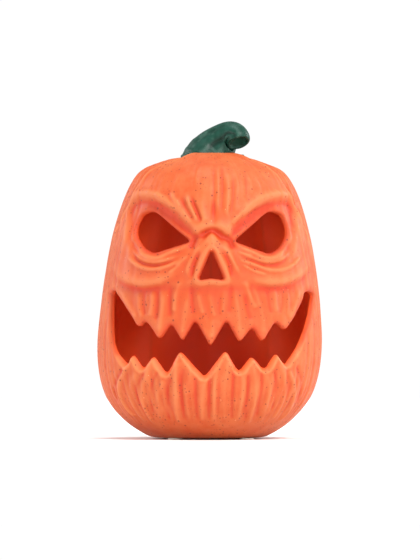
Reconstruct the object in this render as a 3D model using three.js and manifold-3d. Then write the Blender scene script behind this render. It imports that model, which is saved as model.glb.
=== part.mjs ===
// Carved pumpkin lantern figure: a hollow slip-cast body with a face cut through its wall, a separate
// stem on the crown, and a push-in light unit with a coin cell in the base.
// Millimetres, +Z up. The origin is on the table under the middle of the foot, the face looks along -Y,
// and +X is at the viewer's right. An azimuth is measured from the front towards +X.
import * as THREE from "three";
import { TessellateModifier } from "three/addons/modifiers/TessellateModifier.js";
import { mergeVertices } from "three/addons/utils/BufferGeometryUtils.js";
import Module from "manifold-3d";

const wasm = await Module();
wasm.setup();

// ---------------------------------------------------------------- driving dimensions

const GAP = 0.3; // clearance between neighbours that don't move
const WALL = 4; // cast wall of the body
const BODY_SEGMENTS = 60;
const OUTER_ROWS = 22;
const INNER_ROW_STEP = 2; // every second outer row is repeated inside

const PAD_HEIGHT = 0.8;
const PAD_RADIUS = 4.5;
const PAD_CIRCLE = 32; // radius of the circle that the pads stand on
const PAD_COUNT = 4;

// Radius and height of the body's outer surface on the crest of a lobe, from the foot to the crown.
const BODY_PROFILE = [
  [38, PAD_HEIGHT],
  [47.5, 7.3],
  [56.1, 14.9],
  [62.4, 22.5],
  [67.2, 32],
  [70.1, 46],
  [71.1, 61],
  [70.2, 82],
  [67.8, 102],
  [64, 125],
  [57.4, 148],
  [51, 162],
  [43.5, 170.4],
  [33, 176],
  [24, 179.4],
  [17, 180.8],
  [10, 179.2],
  [4.5, 177.2],
  [0, 176.8],
];
const RECESS = { radius: 26, top: 4.3 }; // in the underside, for the light unit's flange
const BASE_HOLE_RADIUS = 23;
const FLOOR_TOP = 8.5;

// The lobes: one wide lobe carries the face, and six narrower ones share the sides and the back.
const GROOVES = [72, 108, 144, 180, 216, 252, 288]; // azimuths in degrees
const GROOVE_DEPTH = 2.4;
const GROOVE_WIDTH = 4.6; // degrees from the bottom of a groove to the rise of its side
const TOOL_EDGE = 9; // longest edge of a tool that is bent round the body
const CORE = { low: 40, high: 125 }; // the stretch of axis that the wall is pushed towards

// Openings, as corners [x, z, softness] of their outline on the outer surface, seen from the front.
// The softness is the length of each side that is given to rounding the corner.
const EYE_RIGHT = [
  [15.2, 125.4, 3],
  [39.6, 145.6, 5],
  [47.6, 142.8, 4.5],
  [50.6, 135, 5],
  [50, 127.4, 5],
  [45.4, 120.8, 4],
  [38.2, 117.2, 4],
];
const EYE_LEFT = [
  [-13.2, 125.2, 3],
  [-39.2, 145.5, 5],
  [-46.8, 142.7, 4.5],
  [-50, 135, 5],
  [-49.5, 128.4, 5],
  [-44.8, 121.6, 4],
  [-37.8, 117.6, 4],
];
const NOSE = [
  [0.4, 119.8, 4],
  [8.8, 100, 3],
  [0.4, 101.4, 2],
  [-8, 100, 3],
];
const MOUTH = [
  // upper edge, from the viewer's left to the right
  [-63.3, 94.4, 3],
  [-46.5, 70.4, 3.5],
  [-41.6, 75.4, 3.5],
  [-32.6, 62.6, 3.5],
  [-25.2, 73.6, 3.5],
  [-17.6, 61.4, 3.5],
  [-9.8, 76, 4],
  [0.7, 58, 4],
  [10.6, 76, 4],
  [19.2, 60.8, 3.5],
  [27.4, 71, 3],
  [33.9, 61, 3.5],
  [42.4, 75, 3.5],
  [48.8, 68.4, 3.5],
  [56.6, 81, 6],
  [60.6, 94, 3],
  [66.3, 92.4, 3],
  // lower edge, back to the viewer's left
  [64, 76, 9],
  [57.6, 59, 8],
  [49.4, 47.4, 2],
  [43.2, 55.2, 3],
  [36.2, 44.2, 3],
  [27.4, 53.4, 3.5],
  [19.5, 43, 3],
  [10.4, 57.4, 4],
  [-3, 39.8, 2],
  [-19.3, 57, 4],
  [-27.5, 41.6, 3],
  [-36.3, 53.8, 3.5],
  [-42.9, 45, 2],
  [-49.8, 54.6, 3],
  [-53.2, 47.4, 2],
  [-62, 57, 8],
  [-64, 75, 8],
];

// The stem's centre line and radius, from inside the crown to the cut end that droops to the front.
const STEM_LINE = [
  { at: [0.3, 0, 171], radius: 19.4 },
  { at: [0.8, 0, 178.5], radius: 17.4 },
  { at: [4, -0.6, 185], radius: 13.6 },
  { at: [9.2, -2.6, 190.2], radius: 10.8 },
  { at: [14.4, -5.6, 191.4], radius: 9.4 },
  { at: [17.8, -8.6, 187.6], radius: 8.2 },
];
const STEM_RIBS = 8;
const STEM_RIB_DEPTH = 0.06; // of the radius
const STEM_ROWS = 10;
const STEM_DISH = 3; // depth of the hollow in the cut end

// Light unit. Heights are above the table.
const UNIT = {
  bottom: 2.4,
  plateTop: 4,
  flangeRadius: 25,
  cupRadius: 21,
  cupWall: 1.5,
  cupTop: 18.5,
  capTop: 20,
  capHoleRadius: 3.4,
};
const GRIP = { inner: 21.3, outer: 22.7, low: 4.6, high: 8.2, neck: 22.1 };
const WELL = { x: -5.5, hole: 12.3, collar: 14.2, top: 7 }; // round well of the coin cell
const GROOVE_IN_WELL = { radius: 13.4, low: 4.3, high: 5.9 };
const DOOR = { radius: 12, plateTop: 3.9, rimInner: 10.6, rimTop: 5.6, lugRadius: 13.1, lugLow: 4.6 };
const LUG_HALF_ANGLE = 12; // degrees
const DOOR_OPEN_ANGLE = 60; // degrees from locked to the entry slots
const COIN_SLOT = { length: 15, width: 2, depth: 0.9 };
const CELL = { radius: 10, low: 4.2, height: 3.2 };
const SWITCH = { x: 13.5, slotHalfWidth: 1.75, slotHalfLength: 4, low: 4.3, high: 7.6 };
const SLIDER = { halfWidth: 1.4, length: 4, low: 1.4, rest: -3.7, neckHalf: 0.6, neckTop: 5.8 };
const BOARD = { radius: 17, low: 10, high: 11.6 };
const BOSS = { y: 14.6, radius: 2.8, bore: 1.4 };
const LED_RADIUS = 2.5;
const LED_LOW = 14.8;
const LEAD_HALF_WIDTH = 0.25;
const LEAD_OFFSET = 1.27;

// ---------------------------------------------------------------- helpers

const radians = THREE.MathUtils.degToRad;
const smooth = THREE.MathUtils.smoothstep;

// A closed geometry as a solid that can be joined and cut.
function solid(geometry) {
  const bare = geometry.index ? geometry.toNonIndexed() : geometry.clone();
  bare.deleteAttribute("normal");
  bare.deleteAttribute("uv");
  const merged = mergeVertices(bare, 1e-4);
  return new wasm.Manifold(
    new wasm.Mesh({
      numProp: 3,
      vertProperties: merged.attributes.position.array,
      triVerts: new Uint32Array(merged.index.array),
    }),
  );
}

function geometryOf(manifold) {
  const made = manifold.getMesh();
  const geometry = new THREE.BufferGeometry();
  geometry.setAttribute("position", new THREE.BufferAttribute(made.vertProperties, 3));
  geometry.setIndex(new THREE.BufferAttribute(made.triVerts, 1));
  const flat = geometry.toNonIndexed();
  flat.computeVertexNormals();
  return flat;
}

const cut = (body, ...tools) => tools.reduce((left, tool) => left.subtract(tool), body);
const join = (first, ...others) => others.reduce((sum, other) => sum.add(other), first);

// A solid of revolution about the Z axis from [radius, z] points. Points that go up face outwards.
function turned(points, segments = 48) {
  const profile = points.map(([radius, z]) => new THREE.Vector2(radius, z));
  return new THREE.LatheGeometry(profile, segments).rotateX(Math.PI / 2);
}

function cylinder(radius, low, high, [x, y] = [0, 0], segments = 32) {
  const geometry = new THREE.CylinderGeometry(radius, radius, high - low, segments);
  return geometry.rotateX(Math.PI / 2).translate(x, y, (low + high) / 2);
}

function block([x0, x1], [y0, y1], [z0, z1]) {
  const geometry = new THREE.BoxGeometry(x1 - x0, y1 - y0, z1 - z0);
  return geometry.translate((x0 + x1) / 2, (y0 + y1) / 2, (z0 + z1) / 2);
}

// A ring sector that stands on z = low, centred on the given azimuth, as an extruded arc outline.
function sector([x, y], inner, outer, low, high, middle, halfAngle) {
  const from = radians(middle - halfAngle);
  const to = radians(middle + halfAngle);
  const shape = new THREE.Shape();
  shape.absarc(0, 0, outer, from, to, false);
  shape.absarc(0, 0, inner, to, from, true);
  const geometry = new THREE.ExtrudeGeometry(shape, {
    depth: high - low,
    bevelEnabled: false,
    curveSegments: 6,
  });
  return geometry.translate(x, y, low);
}

// A round wire along a smooth curve through the given points.
function wire(points, radius) {
  const section = new THREE.Shape();
  section.absarc(0, 0, radius, 0, 2 * Math.PI, false);
  const path = new THREE.CatmullRomCurve3(points.map((point) => new THREE.Vector3(...point)));
  return new THREE.ExtrudeGeometry(section, { extrudePath: path, steps: 10, curveSegments: 4 });
}

const figure = new THREE.Group();

function place(name, geometry, color, roughness, metalness = 0) {
  const mesh = new THREE.Mesh(
    geometry,
    new THREE.MeshStandardMaterial({ color, roughness, metalness }),
  );
  mesh.name = name;
  figure.add(mesh);
}

// ---------------------------------------------------------------- body

const profileCurve = new THREE.SplineCurve(BODY_PROFILE.map(([r, z]) => new THREE.Vector2(r, z)));
const outerRows = profileCurve.getSpacedPoints(OUTER_ROWS);

// Radius of the outer surface at a height, below the crown.
function bodyRadius(z) {
  const above = outerRows.findIndex((row) => row.y > z);
  const [low, high] = [outerRows[above - 1], outerRows[above]];
  return THREE.MathUtils.mapLinear(z, low.y, high.y, low.x, high.x);
}

// The outer surface's rows moved in by the wall, down to the floor.
function innerRows() {
  const rows = [];
  for (let i = 0; i <= OUTER_ROWS; i += INNER_ROW_STEP) {
    const at = i / OUTER_ROWS;
    const point = profileCurve.getPointAt(at);
    const along = profileCurve.getTangentAt(at);
    const row = new THREE.Vector2(point.x - along.y * WALL, point.y + along.x * WALL);
    if (row.y > FLOOR_TOP + 1) rows.push([Math.max(row.x, 0), row.y]);
  }
  return rows;
}

// How far a point of the wall is pushed in by the grooves between the lobes.
function grooveDepth(point) {
  const azimuth = (THREE.MathUtils.radToDeg(Math.atan2(point.x, -point.y)) + 360) % 360;
  const nearest = Math.min(...GROOVES.map((groove) => Math.abs(azimuth - groove)));
  const radius = Math.hypot(point.x, point.y);
  const reach = smooth(point.z, 12, 34) * smooth(radius, 7, 18);
  return GROOVE_DEPTH * reach * Math.exp(-((nearest / GROOVE_WIDTH) ** 2));
}

// Shapes the lobes into a plain body of revolution, and moves its wall out by a margin.
function lobed(geometry, margin = 0) {
  const position = geometry.attributes.position;
  const point = new THREE.Vector3();
  for (let i = 0; i < position.count; i++) {
    point.fromBufferAttribute(position, i);
    const core = new THREE.Vector3(0, 0, THREE.MathUtils.clamp(point.z, CORE.low, CORE.high));
    const outward = point.clone().sub(core).normalize();
    point.addScaledVector(outward, margin - grooveDepth(point));
    position.setXYZ(i, point.x, point.y, point.z);
  }
  return geometry;
}

function outline(corners) {
  const shape = new THREE.Shape();
  corners.forEach(([x, z, softness], i) => {
    const corner = new THREE.Vector2(x, z);
    const towards = ([nextX, nextZ]) => {
      const next = new THREE.Vector2(nextX, nextZ);
      return corner.clone().lerp(next, Math.min(softness / corner.distanceTo(next), 0.45));
    };
    const start = towards(corners.at(i - 1));
    const end = towards(corners[(i + 1) % corners.length]);
    if (i === 0) shape.moveTo(start.x, start.y);
    else shape.lineTo(start.x, start.y);
    shape.quadraticCurveTo(corner.x, corner.y, end.x, end.y);
  });
  shape.closePath();
  return shape;
}

// The tool that cuts an opening: its sides run straight out from the axis of the body, as a knife
// held square to the wall leaves them.
function openingTool(corners) {
  const straight = new THREE.ExtrudeGeometry(outline(corners), {
    depth: 1,
    bevelEnabled: false,
    curveSegments: 2,
  });
  const geometry = new TessellateModifier(TOOL_EDGE, 12).modify(straight);
  const position = geometry.attributes.position;
  for (let i = 0; i < position.count; i++) {
    const z = position.getY(i);
    const radius = bodyRadius(z);
    const azimuth = Math.asin(position.getX(i) / radius);
    const reach = position.getZ(i) > 0.5 ? radius + 6 : radius - 14;
    position.setXYZ(i, reach * Math.sin(azimuth), -reach * Math.cos(azimuth), z);
  }
  return solid(geometry);
}

function shell() {
  const inner = innerRows();
  const section = [
    [0, profileCurve.getPointAt(1).y - WALL],
    ...inner.slice(0, -1).reverse(),
    [bodyRadius(FLOOR_TOP) - 1.6 * WALL, FLOOR_TOP], // the wall leans out there
    [BASE_HOLE_RADIUS, FLOOR_TOP],
    [BASE_HOLE_RADIUS, RECESS.top],
    [RECESS.radius, RECESS.top],
    [RECESS.radius, PAD_HEIGHT],
    ...outerRows.map((row) => [row.x, row.y]),
  ];
  const cast = solid(lobed(turned(section, BODY_SEGMENTS)));
  return cut(cast, ...[EYE_RIGHT, EYE_LEFT, NOSE, MOUTH].map(openingTool));
}

// ---------------------------------------------------------------- stem

function stem() {
  const line = new THREE.CatmullRomCurve3(STEM_LINE.map(({ at }) => new THREE.Vector3(...at)));
  const radii = new THREE.SplineCurve(STEM_LINE.map(({ radius }, i) => new THREE.Vector2(i, radius)));
  const frames = line.computeFrenetFrames(STEM_ROWS);
  const geometry = new THREE.CylinderGeometry(1, 1, STEM_ROWS, 2 * STEM_RIBS, STEM_ROWS);
  const position = geometry.attributes.position;
  for (let i = 0; i < position.count; i++) {
    const [x, z] = [position.getX(i), position.getZ(i)];
    const row = Math.round(position.getY(i) + STEM_ROWS / 2);
    const at = row / STEM_ROWS;
    const onRib = Math.cos(STEM_RIBS * Math.atan2(x, z));
    const radius = radii.getPoint(at).y * (1 + STEM_RIB_DEPTH * onRib);
    const point = line.getPoint(at);
    point.addScaledVector(frames.normals[row], x * radius);
    point.addScaledVector(frames.binormals[row], -z * radius);
    const isDish = row === STEM_ROWS && Math.hypot(x, z) < 0.5;
    point.addScaledVector(frames.tangents[row], isDish ? -STEM_DISH : 0);
    position.setXYZ(i, point.x, point.y, point.z);
  }
  const crownRows = outerRows.filter((row) => row.y > 140);
  const crown = [[0, crownRows[0].y], ...crownRows.map((row) => [row.x, row.y])];
  return cut(solid(geometry), solid(lobed(turned(crown, BODY_SEGMENTS), GAP)));
}

// ---------------------------------------------------------------- light unit

function lightHousing() {
  const cupInner = UNIT.cupRadius - UNIT.cupWall;
  const cup = turned([
    [0, UNIT.bottom],
    [UNIT.flangeRadius, UNIT.bottom],
    [UNIT.flangeRadius, UNIT.plateTop],
    [UNIT.cupRadius, UNIT.plateTop],
    [UNIT.cupRadius, UNIT.cupTop],
    [cupInner, UNIT.cupTop],
    [cupInner, UNIT.plateTop],
    [0, UNIT.plateTop],
  ]);
  const well = [WELL.x, 0];
  const bosses = [BOSS.y, -BOSS.y].map((y) =>
    solid(cylinder(BOSS.radius, UNIT.plateTop - 1, BOARD.low - GAP, [0, y], 20)),
  );
  const bores = [BOSS.y, -BOSS.y].map((y) =>
    solid(cylinder(BOSS.bore, 5.2, BOARD.low + 1, [0, y], 16)),
  );
  const entrySlots = [0, 180].map((side) => {
    const middle = side + DOOR_OPEN_ANGLE;
    const { radius, high } = GROOVE_IN_WELL;
    return solid(sector(well, 11, radius, UNIT.bottom - 1, high, middle, LUG_HALF_ANGLE + 2));
  });
  return cut(
    join(
      solid(cup),
      solid(cylinder(WELL.collar, UNIT.plateTop - 1, WELL.top, well)),
      ...bosses,
    ),
    solid(cylinder(WELL.hole, UNIT.bottom - 1, WELL.top + 1, well)),
    solid(cylinder(GROOVE_IN_WELL.radius, GROOVE_IN_WELL.low, GROOVE_IN_WELL.high, well)),
    ...entrySlots,
    ...bores,
    solid(
      block(
        [SWITCH.x - SWITCH.slotHalfWidth, SWITCH.x + SWITCH.slotHalfWidth],
        [-SWITCH.slotHalfLength, SWITCH.slotHalfLength],
        [UNIT.bottom - 1, UNIT.plateTop + 1],
      ),
    ),
  );
}

function gripRing() {
  const middle = (GRIP.low + GRIP.high) / 2;
  return turned([
    [GRIP.inner, GRIP.low],
    [GRIP.neck, GRIP.low],
    [GRIP.outer, GRIP.low + 0.9],
    [GRIP.neck, middle],
    [GRIP.outer, GRIP.high - 0.9],
    [GRIP.neck, GRIP.high],
    [GRIP.inner, GRIP.high],
    [GRIP.inner, GRIP.low],
  ]);
}

function topCap() {
  return turned([
    [UNIT.capHoleRadius, UNIT.cupTop],
    [UNIT.cupRadius, UNIT.cupTop],
    [UNIT.cupRadius, UNIT.capTop - 0.8],
    [UNIT.cupRadius - 0.8, UNIT.capTop],
    [UNIT.capHoleRadius, UNIT.capTop],
    [UNIT.capHoleRadius, UNIT.cupTop],
  ]);
}

function diffuserDome() {
  const base = UNIT.capTop;
  return turned(
    [
      [0, base + 7.7],
      [2.4, base + 6.6],
      [4.2, base + 4.6],
      [4.9, base + 2.4],
      [4.8, base],
      [6, base],
      [6.2, base + 2.4],
      [5.4, base + 5.2],
      [3.2, base + 7.6],
      [0, base + 8.8],
    ],
    28,
  );
}

function led() {
  return turned(
    [
      [0, LED_LOW],
      [LED_RADIUS + 0.4, LED_LOW],
      [LED_RADIUS + 0.4, LED_LOW + 1],
      [LED_RADIUS, LED_LOW + 1],
      [LED_RADIUS, LED_LOW + 6],
      [LED_RADIUS * 0.87, LED_LOW + 7.3],
      [LED_RADIUS * 0.5, LED_LOW + 8.2],
      [0, LED_LOW + 8.6],
    ],
    20,
  );
}

function ledLead(x) {
  return block(
    [x - LEAD_HALF_WIDTH, x + LEAD_HALF_WIDTH],
    [-LEAD_HALF_WIDTH, LEAD_HALF_WIDTH],
    [BOARD.high + GAP, LED_LOW - GAP],
  );
}

function circuitBoard() {
  const holes = [BOSS.y, -BOSS.y].map((y) =>
    solid(cylinder(BOSS.bore + 0.1, BOARD.low - 1, BOARD.high + 1, [0, y], 16)),
  );
  return cut(solid(cylinder(BOARD.radius, BOARD.low, BOARD.high, [0, 0], 40)), ...holes);
}

function boardScrew(y) {
  const top = BOARD.high + GAP;
  const head = cylinder(2.4, top, top + 1.5, [0, y], 20);
  const shank = cylinder(BOSS.bore - GAP, 6, top + 0.5, [0, y], 12);
  const slot = block([-3, 3], [y - 0.3, y + 0.3], [top + 0.8, top + 2]);
  return cut(join(solid(head), solid(shank)), solid(slot));
}

function timerChip() {
  const low = BOARD.high + GAP;
  const body = block([6, 11], [-8, -4], [low + 0.2, low + 1.7]);
  const legs = [];
  for (const side of [-8.8, -4.2])
    for (let i = 0; i < 4; i++)
      legs.push(solid(block([6.5 + i * 1.2, 6.9 + i * 1.2], [side, side + 1], [low, low + 0.8])));
  return join(solid(body), ...legs);
}

function resistor() {
  const low = BOARD.high + GAP;
  const axisHeight = low + 1.3;
  const barrel = new THREE.CylinderGeometry(1.1, 1.1, 6, 14).rotateZ(Math.PI / 2);
  barrel.translate(8, 6, axisHeight);
  const lead = block([3.6, 12.4], [5.75, 6.25], [axisHeight - 0.25, axisHeight + 0.25]);
  const ends = [3.6, 11.9].map((x) => solid(block([x, x + 0.5], [5.75, 6.25], [low, axisHeight])));
  return join(solid(barrel), solid(lead), ...ends);
}

function coinCell() {
  const { radius, low, height } = CELL;
  const top = low + height;
  return turned([
    [0, low],
    [radius - 0.4, low],
    [radius, low + 0.4],
    [radius, top - 0.5],
    [radius - 0.5, top - 0.3],
    [radius - 1.4, top - 0.3],
    [radius - 1.6, top],
    [0, top],
  ]).translate(WELL.x, 0, 0);
}

// Strip across the top of the cell, with a leg up to the board.
function contactNegative() {
  const low = CELL.low + CELL.height + GAP;
  const strip = block([-9, 6.2], [-2, 2], [low, low + 0.4]);
  const leg = block([5.8, 6.2], [-2, 2], [low, BOARD.low - GAP]);
  return join(solid(strip), solid(leg));
}

// Upright strip that bears on the rim of the cell above the collar of the well.
function contactPositive() {
  const outside = WELL.x - CELL.radius - GAP;
  const leg = block([outside - 0.4, outside], [-3, 3], [CELL.low + 0.4 + 1, BOARD.low - GAP]);
  return solid(leg);
}

function switchBody() {
  const body = block([SWITCH.x - 3.9, SWITCH.x + 3.9], [-6, 6], [SWITCH.low, SWITCH.high]);
  const track = block(
    [SWITCH.x - SLIDER.neckHalf - GAP, SWITCH.x + SLIDER.neckHalf + GAP],
    [-SWITCH.slotHalfLength, SWITCH.slotHalfLength],
    [SWITCH.low - 1, SLIDER.neckTop + GAP],
  );
  return cut(solid(body), solid(track));
}

function switchSlider() {
  const { halfWidth, length, low, rest, neckHalf, neckTop } = SLIDER;
  const knobTop = UNIT.plateTop;
  const knob = block([SWITCH.x - halfWidth, SWITCH.x + halfWidth], [rest, rest + length], [low, knobTop]);
  const neck = block(
    [SWITCH.x - neckHalf, SWITCH.x + neckHalf],
    [rest + 1, rest + length - 1],
    [knobTop - 0.5, neckTop],
  );
  const grips = [1, 2, 3].map((i) =>
    solid(
      block(
        [SWITCH.x - halfWidth - 1, SWITCH.x + halfWidth + 1],
        [rest + i - 0.2, rest + i + 0.2],
        [low - 1, low + 0.4],
      ),
    ),
  );
  return cut(join(solid(knob), solid(neck)), ...grips);
}

function batteryDoor() {
  const centre = [WELL.x, 0];
  const plate = cylinder(DOOR.radius, UNIT.bottom, DOOR.plateTop, centre, 40);
  const rim = cylinder(DOOR.radius, DOOR.plateTop - 0.5, DOOR.rimTop, centre, 40);
  const hollow = cylinder(DOOR.rimInner, DOOR.plateTop, DOOR.rimTop + 1, centre, 40);
  const lugs = [0, 180].map((middle) => {
    const { lugRadius, lugLow, rimTop } = DOOR;
    return solid(sector(centre, 11, lugRadius, lugLow, rimTop, middle, LUG_HALF_ANGLE));
  });
  const slot = block(
    [WELL.x - COIN_SLOT.length / 2, WELL.x + COIN_SLOT.length / 2],
    [-COIN_SLOT.width / 2, COIN_SLOT.width / 2],
    [UNIT.bottom - 1, UNIT.bottom + COIN_SLOT.depth],
  );
  return cut(join(solid(plate), solid(rim), ...lugs), solid(hollow), solid(slot));
}

// Loose wire from the end of the switch up to the board, on the given side.
function switchWire(side) {
  return wire(
    [
      [SWITCH.x, 6.3 * side, 6],
      [SWITCH.x - 0.2, 7.6 * side, 6.1],
      [SWITCH.x - 1.1, 9 * side, 7.2],
      [SWITCH.x - 1.5, 9.4 * side, BOARD.low - GAP],
    ],
    0.55,
  );
}

// ---------------------------------------------------------------- the figure

const GLAZE_ORANGE = "#f06a3c";
const GLAZE_GREEN = "#1f5a43";
const RUBBER = "#2a2a2c";
const WHITE_PLASTIC = "#e9e6df";
const TINNED = "#c9c9c6";

place("shell", geometryOf(shell()), GLAZE_ORANGE, 0.45);
place("stem", geometryOf(stem()), GLAZE_GREEN, 0.25);
for (let i = 0; i < PAD_COUNT; i++) {
  const azimuth = radians(45 + (360 / PAD_COUNT) * i);
  const centre = [PAD_CIRCLE * Math.sin(azimuth), -PAD_CIRCLE * Math.cos(azimuth)];
  place(`foot_pad_${i + 1}`, cylinder(PAD_RADIUS, 0, PAD_HEIGHT, centre, 24), "#d8d2c6", 0.95);
}

place("light_housing", geometryOf(lightHousing()), WHITE_PLASTIC, 0.5);
place("grip_ring", gripRing(), RUBBER, 0.85);
place("top_cap", topCap(), WHITE_PLASTIC, 0.5);
place("diffuser_dome", diffuserDome(), "#f6efdc", 0.4);
place("led", led(), "#f3d9a0", 0.2);
place("led_lead_anode", ledLead(LEAD_OFFSET), TINNED, 0.35, 1);
place("led_lead_cathode", ledLead(-LEAD_OFFSET), TINNED, 0.35, 1);
place("circuit_board", geometryOf(circuitBoard()), "#2f6b3a", 0.5);
place("timer_chip", geometryOf(timerChip()), "#1b1b1d", 0.45);
place("resistor", geometryOf(resistor()), "#c9a878", 0.5);
place("board_screw_1", geometryOf(boardScrew(BOSS.y)), "#b9bcc0", 0.35, 1);
place("board_screw_2", geometryOf(boardScrew(-BOSS.y)), "#b9bcc0", 0.35, 1);
place("coin_cell", coinCell(), "#c4c6c8", 0.3, 1);
place("contact_positive", geometryOf(contactPositive()), "#c8a24a", 0.35, 1);
place("contact_negative", geometryOf(contactNegative()), "#c8a24a", 0.35, 1);
place("switch_body", geometryOf(switchBody()), "#3a3a3c", 0.5);
place("wire_red", switchWire(1), "#b3261c", 0.5);
place("wire_black", switchWire(-1), "#202022", 0.5);

place("battery_door", geometryOf(batteryDoor()), WHITE_PLASTIC, 0.5);
place("switch_slider", geometryOf(switchSlider()), RUBBER, 0.6);

export default figure;
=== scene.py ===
"""Carved pumpkin lantern figure: a hollow glazed pumpkin with a face cut through its wall, a drooping
stem and a push-in light unit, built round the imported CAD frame. Lengths in this script are in
millimetres on the body and in metres in Blender. The face looks along -Y, and +X is at the right of
whoever looks at it."""
import math

import bmesh
import bpy
import numpy as np
from mathutils import Matrix, Vector


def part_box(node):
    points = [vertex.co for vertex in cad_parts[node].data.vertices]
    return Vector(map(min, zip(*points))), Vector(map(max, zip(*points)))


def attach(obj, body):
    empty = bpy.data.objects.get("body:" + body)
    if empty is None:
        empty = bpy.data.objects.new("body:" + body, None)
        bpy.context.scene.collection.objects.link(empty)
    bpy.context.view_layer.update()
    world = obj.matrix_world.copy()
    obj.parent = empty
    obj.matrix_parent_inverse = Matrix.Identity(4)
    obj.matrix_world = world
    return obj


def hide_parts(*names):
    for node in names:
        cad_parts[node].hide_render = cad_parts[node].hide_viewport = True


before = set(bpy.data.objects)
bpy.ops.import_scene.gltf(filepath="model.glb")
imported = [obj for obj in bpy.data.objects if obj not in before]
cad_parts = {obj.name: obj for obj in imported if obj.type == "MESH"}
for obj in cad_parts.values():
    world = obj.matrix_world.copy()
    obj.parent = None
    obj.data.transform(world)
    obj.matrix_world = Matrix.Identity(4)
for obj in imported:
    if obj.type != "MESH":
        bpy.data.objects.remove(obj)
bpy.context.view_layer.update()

# ------------------------------------------------------------------ driving dimensions

MM = 0.001
shell_low, shell_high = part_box("shell")
BODY_RADIUS = (shell_high.x - shell_low.x) / 2 / MM
FOOT_HEIGHT = shell_low.z / MM
WALL = 4.0
FLOOR_TOP = 8.5
RECESS_RADIUS, RECESS_TOP = 26.0, 4.3
BASE_HOLE_RADIUS, BASE_HOLE_TOP = 23.0, 14.0
EDGE_ROUNDING = 1.5      # of the glaze over the cut edges of the openings
FOOT_ROUNDING = 1.4      # round the outside of the foot
CAVITY_ROUNDING = 6.0    # between the cavity's wall and its floor
HOLE_ROUNDING, RECESS_ROUNDING = 0.7, 0.5
# The casting leans a little: how far its axis is from the frame's Z axis, as (height, x).
LEAN = [(0, -1.9), (20, -1.9), (60, -0.8), (85, -0.2), (130, 0), (155, 0.35), (181, 0.4)]

# Radius and height of the outer surface on the crest of a lobe. The first two points are below the
# foot, where the body is cut off flat.
BODY_PROFILE = [
    (0, -9), (22, -6), (34, 0), (43.4, 4.8), (51.8, 10.8), (60, 19.6), (66.2, 30), (69.8, 44),
    (BODY_RADIUS - 0.2, 61), (69.6, 81), (67.2, 103), (63.4, 125), (56.9, 148), (50.6, 162.4), (43.5, 170.8),
    (33, 176), (24, 179.4), (17, 180.8), (10, 179.2), (4.5, 177.2), (0, 176.8),
]

# Openings as corners (x, z, softness) on the outer surface, seen from the front. The softness is the
# length of each side that is given to rounding the corner.
EYE_RIGHT = [
    (15.2, 125.4, 3), (39.6, 145.6, 4), (47.6, 142.8, 3), (50.6, 135, 3), (50, 127.4, 3), (45.4, 120.8, 3),
    (38.2, 117.2, 3),
]
EYE_LEFT = [
    (-13.2, 125.2, 3), (-39.2, 145.5, 4), (-46.8, 142.7, 3), (-50, 135, 3), (-49.5, 128.4, 3),
    (-44.8, 121.6, 3), (-37.8, 117.6, 3),
]
NOSE = [(0.4, 119.8, 4), (8.8, 100, 3), (0.4, 101.4, 2), (-8, 100, 3)]
MOUTH = [
    (-64, 92.6, 3), (-61.4, 94.4, 2), (-46.5, 70.4, 3.5), (-41.6, 75.4, 3.5), (-32.6, 62.6, 3.5),
    (-25.2, 73.6, 3.5), (-17.6, 61.4, 3.5), (-9.8, 76, 4), (0.7, 58, 4), (10.6, 76, 4),
    (19.2, 60.8, 3.5), (27.4, 71, 3), (33.9, 61, 3.5), (42.4, 75, 3.5), (48.8, 68.4, 3.5),
    (56.6, 81, 6), (60.6, 94, 3), (66.3, 92.4, 3), (64, 76, 9), (57.6, 59, 8), (49.4, 47.4, 2),
    (43.2, 55.2, 3), (36.2, 44.2, 3), (27.4, 53.4, 3.5), (19.5, 43, 3), (10.4, 57.4, 4), (-3, 39.8, 2),
    (-19.3, 57, 4), (-27.5, 41.6, 3), (-36.3, 53.8, 3.5), (-42.9, 45, 2), (-49.8, 54.6, 3),
    (-53.2, 47.4, 2), (-62, 57, 8), (-64, 75, 8),
]

# ------------------------------------------------------------------ curves and fields


def run_along(points):
    """Distance along a polyline at each of its points."""
    return np.concatenate([[0], np.cumsum(np.linalg.norm(np.diff(points, axis=0), axis=1))])


def spline(points, spacing):
    """Evenly spaced points on the smooth curve through the given points."""
    points = np.array(points, float)
    ends = np.vstack([2 * points[0] - points[1], points, 2 * points[-1] - points[-2]])
    t = np.linspace(0, 1, 16, endpoint=False)[:, None]
    parts = [
        0.5 * (2 * b + (c - a) * t + (2 * a - 5 * b + 4 * c - d) * t**2 + (3 * b - a - 3 * c + d) * t**3)
        for a, b, c, d in zip(ends, ends[1:], ends[2:], ends[3:])
    ]
    dense = np.vstack([*parts, points[-1:]])
    run = run_along(dense)
    even = np.linspace(0, run[-1], max(2, int(run[-1] / spacing) + 1))
    return np.stack([np.interp(even, run, column) for column in dense.T], axis=1)


def softened(corners, spacing=1.0):
    """Closed outline through (x, z, softness) corners, each rounded by a curve."""
    points = []
    count = len(corners)
    for i, (x, z, softness) in enumerate(corners):
        corner = np.array([x, z])
        ends = []
        for other in (corners[i - 1], corners[(i + 1) % count]):
            side = np.array(other[:2]) - corner
            ends.append(corner + side * min(softness / np.linalg.norm(side), 0.45))
        t = np.linspace(0, 1, 7)[:, None]
        points.extend((1 - t) ** 2 * ends[0] + 2 * t * (1 - t) * corner + t**2 * ends[1])
    points.append(points[0])
    points = np.array(points)
    run = run_along(points)
    even = np.unique(np.concatenate([run, np.arange(0, run[-1], spacing)]))
    return np.stack([np.interp(even, run, column) for column in points.T], axis=1)


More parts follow.
